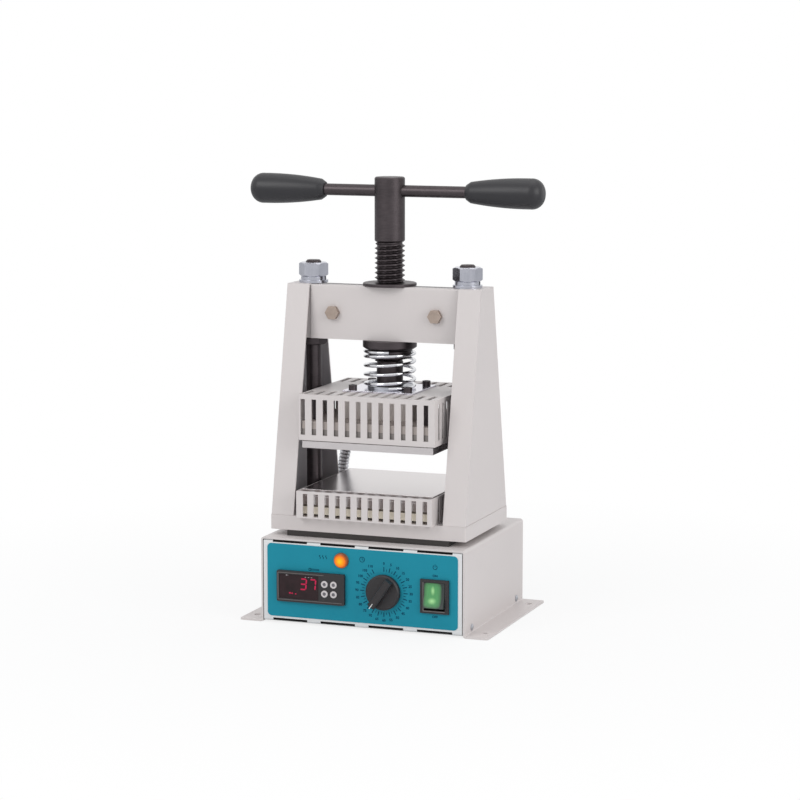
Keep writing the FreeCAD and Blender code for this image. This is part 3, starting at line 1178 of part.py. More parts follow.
def press_screw():
    """The screw: foot, shank, thread at its pitch line, and the head with the bar's cross hole."""
    plan = Plan("PressScrew", y="press_y")
    profile = plan.sketch("XZ")
    thread_start = "(taper_bottom - 13.9)"
    plan.outline(profile, [
        ("0", "foot_bottom"), ("foot_diameter/2", "foot_bottom"), ("foot_diameter/2", "foot_top"),
        ("shank_diameter/2", "foot_top"), ("shank_diameter/2", thread_start),
        ("thread_diameter/2", f"{thread_start} + 0.25"), ("thread_diameter/2", "hub_bottom"),
        ("hub_diameter/2 - hub_chamfer", "hub_bottom"), ("hub_diameter/2", "hub_bottom + hub_chamfer"),
        ("hub_diameter/2", "hub_top - hub_chamfer"), ("hub_diameter/2 - hub_chamfer", "hub_top"), ("0", "hub_top")])
    plan.revolve(profile)
    cross = plan.sketch("YZ")
    plan.circles(cross, "bar_diameter + 2*running_fit", [("0", "bar_z")])
    plan.pocket(cross)
    node("press_screw", plan.body)


def handle_bar():
    """Tommy bar with a turned grip on each end."""
    reach = "(grip_gap/2 + grip_length - grip_cap)"
    node("tommy_bar", rod("TommyBar", "bar_diameter", f"2*{reach}", f"bar_shift - {reach}", "press_y", "bar_z", "X"))
    for side, sign in SIDES.items():
        turn = Rotation(Vector(0, 0, 1), 0 if side == "right" else 180)
        plan = Plan(f"Grip{side}", f"bar_shift + {sign}*(grip_gap/2 + grip_length)", "press_y", "bar_z", turn)
        profile = plan.sketch("XY")
        plan.outline(profile, [
            ("0", "0"), ("-grip_cap", "0"), ("-grip_cap", "bar_diameter/2"), ("-grip_length", "bar_diameter/2"),
            ("-grip_length", "grip_mouth/2"), ("-grip_length + grip_chamfer", "grip_neck/2", "4.6*grip_length"),
            ("-grip_shoulder", "grip_diameter/2", "0.98*grip_shoulder"), ("0", "grip_tip/2")])
        plan.revolve(profile, "H_Axis")
        node(f"grip_{side}", plan.body)


def biarc(start, way_out, end, way_in):
    """Two arcs that leave one point and reach another along given directions."""
    chord, ways = end - start, way_out + way_in
    spread = 2 * (1 - way_out.dot(way_in))
    reach = (-chord.dot(ways) + math.sqrt(chord.dot(ways) ** 2 + spread * chord.dot(chord))) / spread
    knees = start + way_out * reach, end - way_in * reach
    joint = (knees[0] + knees[1]) / 2
    arcs = []
    for first, knee, last in ((start, knees[0], joint), (joint, knees[1], end)):
        middle = (first + last) / 2
        half, depth = (first - middle).Length, (knee - middle).Length
        rise = half * ((knee - first).Length - half) / depth
        arcs.append(Part.Arc(first, middle + (knee - middle).normalize() * rise, last).toShape())
    return arcs


def return_spring():
    """Coil spring round the screw, between the retaining plate and the nut: closed, open, closed turns."""
    wire = number("spring_wire")
    radius = (number("spring_diameter") - wire) / 2
    low = number("retainer_top") + wire / 2
    high = number("flange_bottom") - number("spring_free_gap") - wire / 2 - 1.05
    closed_rise = (wire + number("spring_end_gap")) / 4
    low_quarters, open_quarters, high_quarters = 3, 13, 4
    open_rise = (high - low - (low_quarters + high_quarters) * closed_rise) / open_quarters
    rises = [closed_rise] * low_quarters + [open_rise] * open_quarters + [closed_rise] * high_quarters
    first_angle = math.radians(-72)
    centre_y = number("press_y")
    places, ways, level = [], [], low
    for index in range(len(rises) + 1):
        angle = first_angle + index * math.pi / 2
        places.append(Vector(radius * math.cos(angle), centre_y + radius * math.sin(angle), level))
        near = rises[max(index - 1, 0)] + rises[min(index, len(rises) - 1)]
        climb = near / (radius * math.pi)
        ways.append(Vector(-math.sin(angle), math.cos(angle), climb).normalize())
        level += rises[min(index, len(rises) - 1)]
    edges = []
    for index in range(len(rises)):
        edges += biarc(places[index], ways[index], places[index + 1], ways[index + 1])
    path = Part.Wire(edges)
    section = Part.Wire(Part.makeCircle(wire / 2, places[0], ways[0]))
    tube = path.makePipeShell([section], True, False)
    points = path.discretize(Number=40 * len(rises))
    half_turn = 80
    gaps = [(a - b).Length for i, a in enumerate(points) for b in points[i + half_turn::3]]
    print(f"return_spring: {len(rises) / 4} turns, least gap to itself {min(gaps) - wire:.2f} mm,"
          f" volume over section times length {tube.Volume / (path.Length * math.pi * wire ** 2 / 4):.4f}")
    piece = doc.addObject("Part::Feature", "ReturnSpring")
    piece.Shape = tube
    node("return_spring", piece)


def rounded_path(points):
    """Straight runs through the points, joined by tangent arcs as large as the shorter run allows."""
    edges, start = [], points[0]
    for before, corner, after in zip(points, points[1:], points[2:]):
        run_in, run_out = corner - before, after - corner
        half_turn = run_in.getAngle(run_out) / 2
        reach = 0.45 * min(run_in.Length, run_out.Length)
        entry = corner - Vector(run_in).normalize() * reach
        leave = corner + Vector(run_out).normalize() * reach
        middle = (entry + leave) / 2
        half = (entry - middle).Length
        rise = half * (reach - half) / (corner - middle).Length
        edges.append(Part.LineSegment(start, entry).toShape())
        edges.append(Part.Arc(entry, middle + (corner - middle).normalize() * rise, leave).toShape())
        print(f"conduit: bend radius {reach / math.tan(half_turn):.0f} mm")
        start = leave
    edges.append(Part.LineSegment(start, points[-1]).toShape())
    return edges


def place_along(edges, distance):
    """The point and the direction at a distance along the edges."""
    for edge in edges:
        if distance <= edge.Length or edge is edges[-1]:
            where = edge.getParameterByLength(min(distance, edge.Length))
            return edge.valueAt(where), edge.tangentAt(where)
        distance -= edge.Length


def conduit():
    """Ribbed conduit from the elbow on the upper guard down to the gland on the box, with both fittings."""
    outlet = number("elbow_length + gland_height")
    middle = Vector(*(number(text) for text in ("elbow_x", "elbow_y", "elbow_z")))
    foot = Vector(*(number(text) for text in ("gland_x", "gland_y", "conduit_bottom")))
    way = TURNS["Outlet"].multVec(Vector(0, 0, 1))
    top = middle + way * outlet
    upper_bend = top + way * number("conduit_upper_run")
    lower_bend = foot + Vector(0, 0, number("conduit_lower_run"))
    edges = rounded_path([top, upper_bend, lower_bend, foot])
    length = sum(edge.Length for edge in edges)
    root, crest, pitch = (number(text) for text in ("conduit_root", "conduit_diameter", "rib_pitch"))
    plain = crest
    ribs = int((length - 2 * plain) / pitch)
    start = (length - ribs * pitch) / 2
    stations = [(0.0, root)]
    for index in range(ribs):
        base = start + index * pitch
        stations += [(base + share * pitch, size) for share, size in
                     ((0.1, root), (0.3, crest), (0.7, crest), (0.9, root))]
    stations.append((length, root))
    piece = doc.addObject("Part::Feature", "Conduit")
    bore = number("conduit_bore")
    outside = Part.makeLoft([ring_across(edges, place, size) for place, size in stations], True, True)
    inside = Part.makeLoft([ring_across(edges, place, bore) for place, size in stations[::2] + stations[-1:]],
                           True, True)
    piece.Shape = outside.cut(inside)
    ring = math.pi * ((root / 2) ** 2 - (bore / 2) ** 2)
    print(f"conduit: {ribs} ribs, length {length:.1f} mm, volume {piece.Shape.Volume:.0f} mm3,"
          f" plain tube of the root size {ring * length:.0f} mm3")
    node("conduit", piece)

    low = cut("ConduitGlandBody", join(
        "ConduitGlandSolid", hexagon("ConduitGlandHex", "gland_flats", "gland_height", "gland_x", "gland_y", "base_height"),
        rod("ConduitGlandNeck", "conduit_diameter + 1", "base_sheet + 6", "gland_x", "gland_y",
            "base_height - base_sheet - 6")),
        rod("ConduitGlandBore", "conduit_bore", "gland_height + base_sheet + 6", "gland_x", "gland_y",
            "base_height - base_sheet - 6"))
    node("conduit_gland", low)

    wall = "(press_y + upper_guard_half_depth)"
    centre = ("elbow_x", "elbow_y", "elbow_z")
    barrel = rod("ElbowBarrel", "elbow_diameter", "elbow_reach", "elbow_x", wall, "elbow_z", "Y")
    turn = doc.addObject("Part::Sphere", "ElbowTurn")
    turn.Placement = Placement(Vector(), TURNS["Outlet"])
    bind(turn, Radius="elbow_diameter/2")
    set_at(turn, *centre)
    tube = rod("ElbowTube", "elbow_diameter", "elbow_length", *centre, "Outlet")
    nut = hexagon("ElbowNut", "gland_flats", "gland_height", "elbow_x - elbow_length*sin(elbow_tilt)", "elbow_y",
                  "elbow_z - elbow_length*cos(elbow_tilt)", "Outlet")
    flange = hexagon("ElbowFlange", "gland_flats + 1", "elbow_flange", "elbow_x", wall, "elbow_z", "Y")
    bores = [rod("ElbowBoreLevel", "conduit_bore", "elbow_reach", "elbow_x", wall, "elbow_z", "Y"),
             rod("ElbowBoreOut", "conduit_bore", "elbow_length + gland_height", *centre, "Outlet")]
    node("conduit_elbow", cut("ConduitElbow", join("ElbowSolid", barrel, turn, tube, nut, flange), *bores))


def ring_across(edges, distance, diameter):
    """A circle square to the path, whose own X axis stays in one upright plane."""
    point, way = place_along(edges, distance)
    side = Vector(0, 1, 0).cross(way).normalize()
    frame = Placement(point, Rotation(side, way.cross(side), way, "ZXY"))
    circle = Part.makeCircle(diameter / 2)
    circle.Placement = frame
    return Part.Wire(circle)


base_cover()
chassis()
panel_label()
dome_screws()
controller()
node("panel_nuts", group("PanelNuts", lamp(), timer()))
mains_switch()
mains_inlet()
inside_the_box()
press_base()
tie_rods()
column_covers()
beam()
lower_unit()
upper_unit()
press_screw()
handle_bar()
return_spring()
conduit()
doc.recompute()

for thing in doc.Objects:
    for state in thing.State:
        if state in ("Invalid", "Error"):
            raise RuntimeError(f"{thing.Name} failed: {thing.State}")
for name, piece in NODES.items():
    if piece.Shape.isNull() or not piece.Shape.isValid():
        raise RuntimeError(f"{name} has no valid shape")

os.makedirs("parts", exist_ok=True)
for name, piece in NODES.items():
    piece.Shape.exportStep(f"parts/{piece.Label}.step")
    print(f"{name}: {len(piece.Shape.Solids)} solids, {piece.Shape.Volume / 1000:.1f} cm3")
print(f"{len(NODES)} nodes")
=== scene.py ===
"""Finish and small detail of a bench press for rubber moulds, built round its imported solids.

Lengths are written in millimetres where a name says so and put into the meshes in metres. X runs to the
right, Y to the back and Z up, from the bench under the middle of the base box.
"""

import bmesh
import bpy
import json
import math
import numpy as np
from mathutils import Matrix, Vector


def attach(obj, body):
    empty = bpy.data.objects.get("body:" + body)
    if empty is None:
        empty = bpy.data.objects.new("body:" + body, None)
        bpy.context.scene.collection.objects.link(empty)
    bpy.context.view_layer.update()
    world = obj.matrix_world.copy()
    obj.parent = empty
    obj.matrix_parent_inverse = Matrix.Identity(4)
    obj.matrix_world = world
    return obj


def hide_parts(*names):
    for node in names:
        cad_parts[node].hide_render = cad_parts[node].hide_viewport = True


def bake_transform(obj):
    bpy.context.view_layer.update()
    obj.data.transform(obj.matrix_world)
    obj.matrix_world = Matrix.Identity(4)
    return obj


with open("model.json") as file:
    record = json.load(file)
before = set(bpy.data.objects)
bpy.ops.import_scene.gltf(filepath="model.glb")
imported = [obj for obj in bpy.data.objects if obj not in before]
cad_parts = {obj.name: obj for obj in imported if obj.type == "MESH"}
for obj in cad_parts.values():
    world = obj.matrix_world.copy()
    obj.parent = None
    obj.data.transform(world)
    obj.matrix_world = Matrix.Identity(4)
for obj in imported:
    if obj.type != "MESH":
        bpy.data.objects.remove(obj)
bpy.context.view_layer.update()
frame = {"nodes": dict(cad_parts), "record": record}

MM = 0.001
PRESS_Y = -13.0
FILM_FRONT = -94.5
BEZEL_FRONT = -98.5
SWITCH_FRONT = -97.0
KNOB_FRONT = -109.0
TURN = 2 * math.pi


# Camera

AZIMUTH = math.radians(20.52)
ELEVATION = math.radians(8.109)
DISTANCE = 2.7169
AIM = Vector((0.00623, 0.0, 0.22256))
FOCAL_LENGTH = 118.54

back = Vector((math.sin(AZIMUTH) * math.cos(ELEVATION),
               -math.cos(AZIMUTH) * math.cos(ELEVATION),
               math.sin(ELEVATION)))
right = Vector((math.cos(AZIMUTH), math.sin(AZIMUTH), 0.0))
up = back.cross(right)
lens = bpy.data.cameras.new("camera")
lens.lens = FOCAL_LENGTH
lens.sensor_width = 36.0
lens.clip_end = 50.0
camera = bpy.data.objects.new("camera", lens)
facing = Matrix((right, up, back)).transposed().to_4x4()
camera.matrix_world = Matrix.Translation(AIM + back * DISTANCE) @ facing
bpy.context.scene.collection.objects.link(camera)
bpy.context.scene.camera = camera
bpy.context.scene.view_settings.view_transform = "Standard"


# Finishes

def display(red, green, blue):
    """The linear colour that shows as these values out of 255: a straight toe, then a power of 2.4."""
    share = np.array((red, green, blue)) / 255
    linear = np.where(share <= 0.04045, share / 12.92, ((share + 0.055) / 1.055) ** 2.4)
    return (*linear.tolist(), 1.0)


class Value:
    """A socket in arithmetic: every operator adds one Math node and gives the new socket."""

    def __init__(self, finish, socket):
        self.finish = finish
        self.socket = socket

    def math(self, operation, *terms):
        return self.finish.math(operation, *terms)

    def __add__(self, other):
        return self.math("ADD", self, other)

    def __sub__(self, other):
        return self.math("SUBTRACT", self, other)

    def __rsub__(self, other):
        return self.math("SUBTRACT", other, self)

    def __mul__(self, other):
        return self.math("MULTIPLY", self, other)

    def __truediv__(self, other):
        return self.math("DIVIDE", self, other)

    def __pow__(self, other):
        return self.math("POWER", self, other)

    def __gt__(self, other):
        return self.math("GREATER_THAN", self, other)

    def root(self):
        return self.math("SQRT", self)

    def held(self, low, high):
        """The value kept between two numbers."""
        return self.math("MINIMUM", self.math("MAXIMUM", self, low), high)

    __radd__ = __add__
    __rmul__ = __mul__


class Finish:
    """A material being put together round one Principled shader."""

    def __init__(self, name, **constants):
        self.material = bpy.data.materials.new(name)
        self.material.use_nodes = True
        self.tree = self.material.node_tree
        self.tree.nodes.clear()
        self.surface = self.tree.nodes.new("ShaderNodeBsdfPrincipled")
        output = self.tree.nodes.new("ShaderNodeOutputMaterial")
        self.tree.links.new(self.surface.outputs[0], output.inputs["Surface"])
        self.place = self.node("ShaderNodeTexCoord", {}, {}, "Object")
        self.set(**constants)

    def node(self, kind, settings, sockets, out=0):
        """A node of one kind: its settings first, then the values or links of its sockets."""
        made = self.tree.nodes.new(kind)
        for name, value in settings.items():
            if name == "stops":
                while len(made.color_ramp.elements) < len(value):
                    made.color_ramp.elements.new(0.5)
                for element, (position, colour) in zip(made.color_ramp.elements, value):
                    element.position = position
                    element.color = colour
            else:
                setattr(made, name, value)
        for name, value in sockets.items():
            self.feed(made.inputs[name], value)
        return Value(self, made.outputs[out])

    def math(self, operation, *terms):
        return self.node("ShaderNodeMath", {"operation": operation}, dict(enumerate(terms)))

    def feed(self, socket, value):
        if isinstance(value, Value):
            self.tree.links.new(value.socket, socket)
        else:
            socket.default_value = value

    def set(self, **constants):
        """Sets or links sockets of the shader, written with underscores for spaces."""
        for name, value in constants.items():
            self.feed(self.surface.inputs[name.replace("_", " ")], value)
        return self

    def noise(self, scale, detail=2.0, stretch=(1.0, 1.0, 1.0), roughness=0.5):
        """Noise over the piece, with its scale in features per metre, drawn out along the axes by stretch."""
        where = self.place
        if stretch != (1.0, 1.0, 1.0):
            where = self.node("ShaderNodeMapping", {}, {"Vector": self.place, "Scale": stretch})
        return self.node("ShaderNodeTexNoise", {}, {
            "Vector": where, "Scale": scale, "Detail": detail, "Roughness": roughness})

    def between(self, low, high, share):
        """A colour between two, by a share from 0 to 1."""
        return self.node("ShaderNodeMix", {"data_type": "RGBA"}, {0: share, 6: low, 7: high}, 2)

    def relief(self, height, strength=0.2, depth=0.0001):
        """Bumps of the surface from a height."""
        return self.node("ShaderNodeBump", {}, {"Strength": strength, "Distance": depth, "Height": height})

    def from_point(self, x, y, z):
        """Distance in millimetres from a point given in millimetres."""
        offset = self.node("ShaderNodeVectorMath", {"operation": "SUBTRACT"},
                           {0: self.place, 1: (x * MM, y * MM, z * MM)})
        return self.node("ShaderNodeVectorMath", {"operation": "LENGTH"}, {0: offset}, "Value") * 1000

    def along(self, axis):
        """One coordinate of the place, in millimetres."""
        return self.node("ShaderNodeSeparateXYZ", {}, {0: self.place}, axis) * 1000


def coat(name, light, dark, roughness=0.42, grain=1500.0, strength=0.12):
    """Baked powder: a faint drift of tone, and the fine orange peel of the melted powder."""
    finish = Finish(name, Roughness=roughness)
    drift = finish.noise(11.0, 2.0)
    peel = finish.noise(grain, 1.5)
    speck = finish.noise(5200.0, 1.0)
    tone = finish.between(dark, light, (drift * 0.8 + peel * 0.12 + speck * 0.12).held(0.0, 1.0))
    finish.set(Base_Color=tone, Roughness=roughness - 0.05 + drift * 0.06 + speck * 0.05)
    finish.set(Normal=finish.relief(peel * 0.8 + speck * 0.2, strength, 0.00012))
    return finish


def metal(name, light, dark, roughness, stretch=(1.0, 1.0, 1.0), scale=300.0, relief=0.05, worn=0.1):
    """Bare or plated metal, with fine marks drawn out the way that the tool went."""
    finish = Finish(name, Metallic=1.0)
    marks = finish.noise(scale, 3.0, stretch)
    cloud = finish.noise(60.0, 2.0)
    finish.set(Base_Color=finish.between(dark, light, (marks * 0.6 + cloud * 0.5 - 0.05).held(0.0, 1.0)))
    finish.set(Roughness=(roughness + (cloud - 0.5) * worn + (marks - 0.5) * worn).held(0.03, 1.0))
    finish.set(Normal=finish.relief(marks, relief, 0.00006))
    return finish


def moulded(name, light, dark, roughness, grain=2600.0, strength=0.15):
    """Moulded plastic or pressed board with an even spark-eroded grain."""
    finish = Finish(name, Roughness=roughness)
    grains = finish.noise(grain, 1.0)
    cloud = finish.noise(45.0, 2.0)
    finish.set(Base_Color=finish.between(dark, light, (grains * 0.5 + cloud * 0.5).held(0.0, 1.0)))
    finish.set(Roughness=roughness + (cloud - 0.5) * 0.08)
    finish.set(Normal=finish.relief(grains, strength, 0.00005))
    return finish


def oxide(name):
    """Oil-blackened steel, with long turning marks."""
    return metal(name, display(94, 87, 89), display(60, 55, 57), 0.42, (1.0, 1.0, 9.0), 160.0, 0.1, 0.2)


finishes = {
    "powder_coat": coat("powder coat", display(216, 209, 207), display(208, 201, 199)),
    "panel_paint": coat("panel paint", display(228, 228, 228), display(221, 221, 221)),
    "black_oxide": oxide("black oxide"),
    "plated_steel": metal("bright plate", display(212, 212, 220), display(184, 186, 196), 0.2,
                          (1.0, 1.0, 0.08), 500.0, 0.04, 0.06),
    "bolt_steel": metal("yellowed plate", display(196, 180, 168), display(150, 134, 124), 0.36, scale=500.0,
                        relief=0.12),
    "platen_metal": metal("milled aluminium", display(214, 209, 209), display(200, 194, 194), 0.24,
                          (0.05, 1.0, 1.0), 900.0, 0.02, 0.04),
    "bright_steel": metal("ground steel", display(226, 224, 232), display(198, 196, 206), 0.16,
                          (0.06, 1.0, 1.0), 900.0, 0.08),
    "spring_steel": metal("chromed wire", display(226, 227, 230), display(206, 207, 211), 0.09, scale=200.0),
    "zinc_metal": metal("zinc plate", display(200, 203, 208), display(172, 175, 182), 0.3, scale=380.0),
    "brass_metal": metal("turned brass", display(205, 178, 120), display(176, 148, 92), 0.3, scale=600.0),
    "grip_plastic": moulded("grip", display(38, 37, 41), display(28, 27, 31), 0.42),
    "black_plastic": moulded("black plastic", display(43, 39, 41), display(32, 29, 31), 0.48),
    "dark_board": moulded("dark board", display(62, 58, 56), display(44, 41, 40), 0.75, 700.0, 0.4),
    "ivory_board": moulded("ivory board", display(240, 232, 216), display(226, 216, 196), 0.7, 700.0, 0.4),
    "mica": moulded("mica", display(106, 96, 84), display(72, 64, 56), 0.35, 300.0, 0.3),
    "key_white": moulded("white keys", display(216, 209, 209), display(204, 197, 198), 0.4),
}
film = moulded("panel film", display(26, 143, 164), display(19, 133, 155), 0.5, 1900.0, 0.10)
film.set(Specular_IOR_Level=0.22)
finishes["panel_film"] = film

window = Finish("display window", Roughness=0.2, Specular_IOR_Level=0.3)
haze = window.noise(120.0, 2.0)
window.set(Base_Color=window.between(display(24, 12, 14), display(52, 30, 34), haze))
window.set(Normal=window.relief(window.noise(2000.0), 0.04))
finishes["window_plastic"] = window

# A darker, cooler copy of the powder coat for the faces inside the columns: painted shade.
painted_column_shade = coat("painted shade inside the columns", display(206, 202, 204), display(180, 176, 179), 0.55)
# A near-black copy of the coat for the faces inside the box: painted shade, seen through the slots.
painted_box_shade = coat("painted shade inside the box", display(34, 32, 32), display(24, 22, 22), 0.7)
housing_cast = metal("cast housing", display(236, 230, 226), display(206, 198, 194), 0.5, scale=420.0,
                     relief=0.2)
# A darker grey metal for the upper heater block, seen only through the guard's slots: painted shade.
shaded_block_tone = metal("painted shade on the upper heater block", display(150, 145, 142), display(124, 119, 116), 0.55, scale=420.0,
                   relief=0.1)
# A darker, greyer copy of the board colour for the board and heater behind the upper guard: painted shade.
shaded_board_tone = moulded("painted shade behind the upper guard", display(186, 176, 170), display(160, 150, 144), 0.7, 700.0, 0.4)
# A darker copy of the conduit's steel for the grooves between its ribs: painted shade.
groove_shade_steel = metal("painted shade in the conduit's grooves", display(122, 122, 125), display(94, 94, 97), 0.4)
# A lighter grey for strokes along the rims of the bezel and the switch frame: painted highlight.
bezel_highlight = moulded("painted bezel highlight", display(124, 117, 115), display(104, 98, 97), 0.45)
print_ink = moulded("panel print", display(8, 66, 92), display(6, 54, 78), 0.6, 3000.0, 0.1)
print_ink.set(Specular_IOR_Level=0.1)
white_ink = moulded("pointer paint", display(238, 238, 236), display(226, 226, 224), 0.5, 3000.0, 0.1)
key_centre = moulded("key centre", display(118, 114, 119), display(92, 89, 94), 0.5)
small_print = moulded("small print", display(176, 170, 172), display(150, 145, 148), 0.5, 3000.0, 0.1)

conduit_finish = Finish("conduit", Metallic=1.0)
steel_cloud = conduit_finish.noise(260.0, 3.0)
conduit_finish.set(
    Base_Color=conduit_finish.between(display(178, 178, 182), display(222, 222, 226), steel_cloud),
    Roughness=0.22 + steel_cloud * 0.2,
    Normal=conduit_finish.relief(steel_cloud, 0.08))
finishes["conduit_grey"] = conduit_finish


def lit(name, centre, stops, reach, strength, roughness=0.3):
    """Plastic lit from behind: its colour and glow change with the distance from the lamp inside it."""
    finish = Finish(name, Roughness=roughness, Coat_Weight=0.15, Coat_Roughness=0.15,
                    Specular_IOR_Level=0.3)
    cells = finish.noise(700.0, 2.0)
    share = (finish.from_point(*centre) / reach + (cells - 0.5) * 0.16).held(0.0, 1.0)
    colour = finish.node("ShaderNodeValToRGB", {"stops": stops}, {"Fac": share})
    finish.set(Base_Color=colour, Emission_Color=colour, Emission_Strength=strength)
    finish.set(Normal=finish.relief(cells, 0.08))
    return finish


finishes["lamp_orange"] = lit("lit lens", (-22.4, -97.0, 69.2), [
    (0.0, display(232, 186, 4)), (0.3, display(226, 152, 2)), (0.6, display(224, 112, 2)),
    (0.82, display(166, 74, 16)), (1.0, display(96, 54, 28))], 8.2, 0.5)


def lit_rocker():
    """A smoked green cap: bright in two spots over its lamp, grey-green outwards, dark at its foot."""
    finish = Finish("lit rocker", Roughness=0.3, Specular_IOR_Level=0.35)
    streaks = finish.noise(260.0, 2.0, (4.0, 1.0, 0.5))
    x, z = finish.along("X"), finish.along("Z")

    def oval(middle_x, half_x, middle_z, half_z):
        """0 in the middle of an oval and 1 from its edge outwards."""
        square = ((x - middle_x) / half_x) ** 2.0 + ((z - middle_z) / half_z) ** 2.0
        return square.root().held(0.0, 1.0)

    across = ((x - 77.3) / 9.3) ** 4.0
    rise = ((z - 42.6) / 12.6) ** 6.0
    spot = oval(77.6, 2.4, 46.8, 5.2)
    second = oval(77.2, 5.0, 36.6, 3.6)
    core = 1.0 - finish.math("MINIMUM", spot, second)
    body = (1.0 - (across + rise) * 0.8 + (streaks - 0.5) * 0.5).held(0.0, 1.0)
    plain = finish.between(display(46, 52, 50), display(78, 142, 88), body)
    colour = finish.between(plain, display(176, 226, 156), core * 0.7)
    finish.set(Base_Color=colour, Emission_Color=colour, Emission_Strength=0.28)
    finish.set(Normal=finish.relief(streaks, 0.1))
    return finish


finishes["rocker_green"] = lit_rocker()
red_glow = Finish("red segments", Roughness=0.4, Specular_IOR_Level=0.2, Emission_Strength=0.75)
ember = red_glow.noise(500.0, 1.0)
red_glow.set(Base_Color=display(96, 8, 28),
             Emission_Color=red_glow.between(display(180, 16, 58), display(208, 44, 96), ember))

PAINTED_FROM = 79.5


def painted_ends():
    """The crossbeam's oxide finish, painted at both ends where the column covers come to it."""
    finish = oxide("crossbeam oxide")
    painted = finish.math("ABSOLUTE", finish.along("X")) > PAINTED_FROM
    bare = finish.surface.inputs["Base Color"].links[0].from_socket
    finish.set(Base_Color=finish.between(Value(finish, bare), display(214, 207, 205), painted),
               Metallic=1.0 - painted)
    return finish


SLOTS = {part["node"]: part["material_slot"] for part in frame["record"]["subparts"]}
for name, thing in frame["nodes"].items():
    thing.data.materials.clear()
    thing.data.materials.append(finishes[SLOTS[name]].material)
BODY_OF = {node: body for body, nodes in frame["record"]["behaviour"]["bodies"].items() for node in nodes}


# Meshes

def new_mesh(name, points, faces, finish, angle=35.0):
    """A mesh from points in metres and lists of corners, smooth except over edges sharper than the angle."""
    mesh = bpy.data.meshes.new(name)
    mesh.from_pydata(np.asarray(points, float).tolist(), [], [list(map(int, face)) for face in faces])
    mesh.validate()
    mesh.update()
    mesh.shade_smooth()
    mesh.set_sharp_from_angle(angle=math.radians(angle))
    mesh.materials.append(finish.material)
    return mesh


def new_piece(name, mesh, body, record_slot, *replaced):
    """An object for a mesh, riding on a body and standing for the named nodes."""
    piece = bpy.data.objects.new(name, mesh)
    bpy.context.scene.collection.objects.link(piece)
    if body is not None:
        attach(piece, body)
    if replaced:
        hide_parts(*replaced)
    return piece


def quads(rows, columns, close_rows=False, close_columns=False):
    """Corners of the cells of a grid of points kept row by row, joined round where it closes."""
    row = np.arange(rows if close_rows else rows - 1)
    column = np.arange(columns if close_columns else columns - 1)
    first, second = np.meshgrid(row, column, indexing="ij")
    after, beside = (first + 1) % rows, (second + 1) % columns
    cells = (first * columns + second, first * columns + beside, after * columns + beside,
             after * columns + second)
    return np.stack(cells, -1).reshape(-1, 4)


def lathe(profile, centre, axis="Z", segments=64):
    """A turned shape: each (radius, height) of the profile is carried once round the axis.

    The point at angle t is the centre plus radius times (cos t, sin t) across the axis plus the height
    along it. The profile starts and ends on the axis, where its ring shrinks to one point.
    """
    radius, height = np.array(profile, float).T
    angle = np.linspace(0, TURN, segments, endpoint=False)
    ring = np.stack([np.outer(radius, np.cos(angle)), np.outer(radius, np.sin(angle)),
                     np.repeat(height[:, None], segments, 1)], -1)
    order = {"Z": (0, 1, 2), "Y": (1, 2, 0), "X": (2, 0, 1)}[axis]
    points = ring[..., order].reshape(-1, 3) + np.array(centre)
    return points * MM, quads(len(profile), segments, close_columns=True)


def joined(parts):
    """The points and faces of several parts, as one set."""
    points = np.concatenate([part[0] for part in parts])
    starts = np.cumsum([0] + [len(part[0]) for part in parts[:-1]])
    return points, np.concatenate([part[1] + start for part, start in zip(parts, starts)])


def closed(name, points, faces, finish, angle=None, merge=2e-6):
    """A mesh whose doubled points are merged and whose faces then point outwards.

    With an angle it is smooth except over edges sharper than that.
    """
    mesh = bpy.data.meshes.new(name)
    mesh.from_pydata(np.asarray(points, float).tolist(), [], [list(map(int, face)) for face in faces])
    work = bmesh.new()
    work.from_mesh(mesh)
    bmesh.ops.remove_doubles(work, verts=work.verts, dist=merge)
    bmesh.ops.recalc_face_normals(work, faces=work.faces)
    work.to_mesh(mesh)
    work.free()
    if angle is not None:
        mesh.shade_smooth()
        mesh.set_sharp_from_angle(angle=math.radians(angle))
    mesh.materials.append(finish.material)
    return mesh


def eased(piece, width, angle=30.0):
    """Rounds the edges of a piece that are sharper than an angle, by a width in millimetres."""
    ease = piece.modifiers.new("eased edges", "BEVEL")
    ease.width = width * MM
    ease.segments = 2
    ease.limit_method = "ANGLE"
    ease.angle_limit = math.radians(angle)
    ease.harden_normals = True


def dressed(node, width=0.0, angle=32.0, finish=None, body="own"):
    """A copy of a node's mesh with its doubles merged, its flat faces joined and its edges eased."""
    work = bmesh.new()
    work.from_mesh(frame["nodes"][node].data)
    bmesh.ops.remove_doubles(work, verts=work.verts, dist=1e-6)
    bmesh.ops.dissolve_limit(work, angle_limit=math.radians(0.6), verts=work.verts, edges=work.edges)
    points = [vertex.co[:] for vertex in work.verts]
    faces = [[vertex.index for vertex in face.verts] for face in work.faces]
    work.free()
    name = f"{node}_skin"
    mesh = new_mesh(name, points, faces, finish or finishes[SLOTS[node]], angle)
    piece = new_piece(name, mesh, BODY_OF[node] if body == "own" else body, SLOTS[node], node)
    if width:
        eased(piece, width, angle)
    return piece


def two_tone(piece, finish, chosen):
    """Gives a second finish to the faces that a rule on their centres, in millimetres, and normals picks."""
    mesh = piece.data
    mesh.materials.append(finish.material)
    centres = np.empty(len(mesh.polygons) * 3, np.float32)
    normals = np.empty(len(mesh.polygons) * 3, np.float32)
    mesh.polygons.foreach_get("center", centres)
    mesh.polygons.foreach_get("normal", normals)
    picked = chosen(centres.reshape(-1, 3) / MM, normals.reshape(-1, 3))
    mesh.polygons.foreach_set("material_index", picked.astype(np.int32))


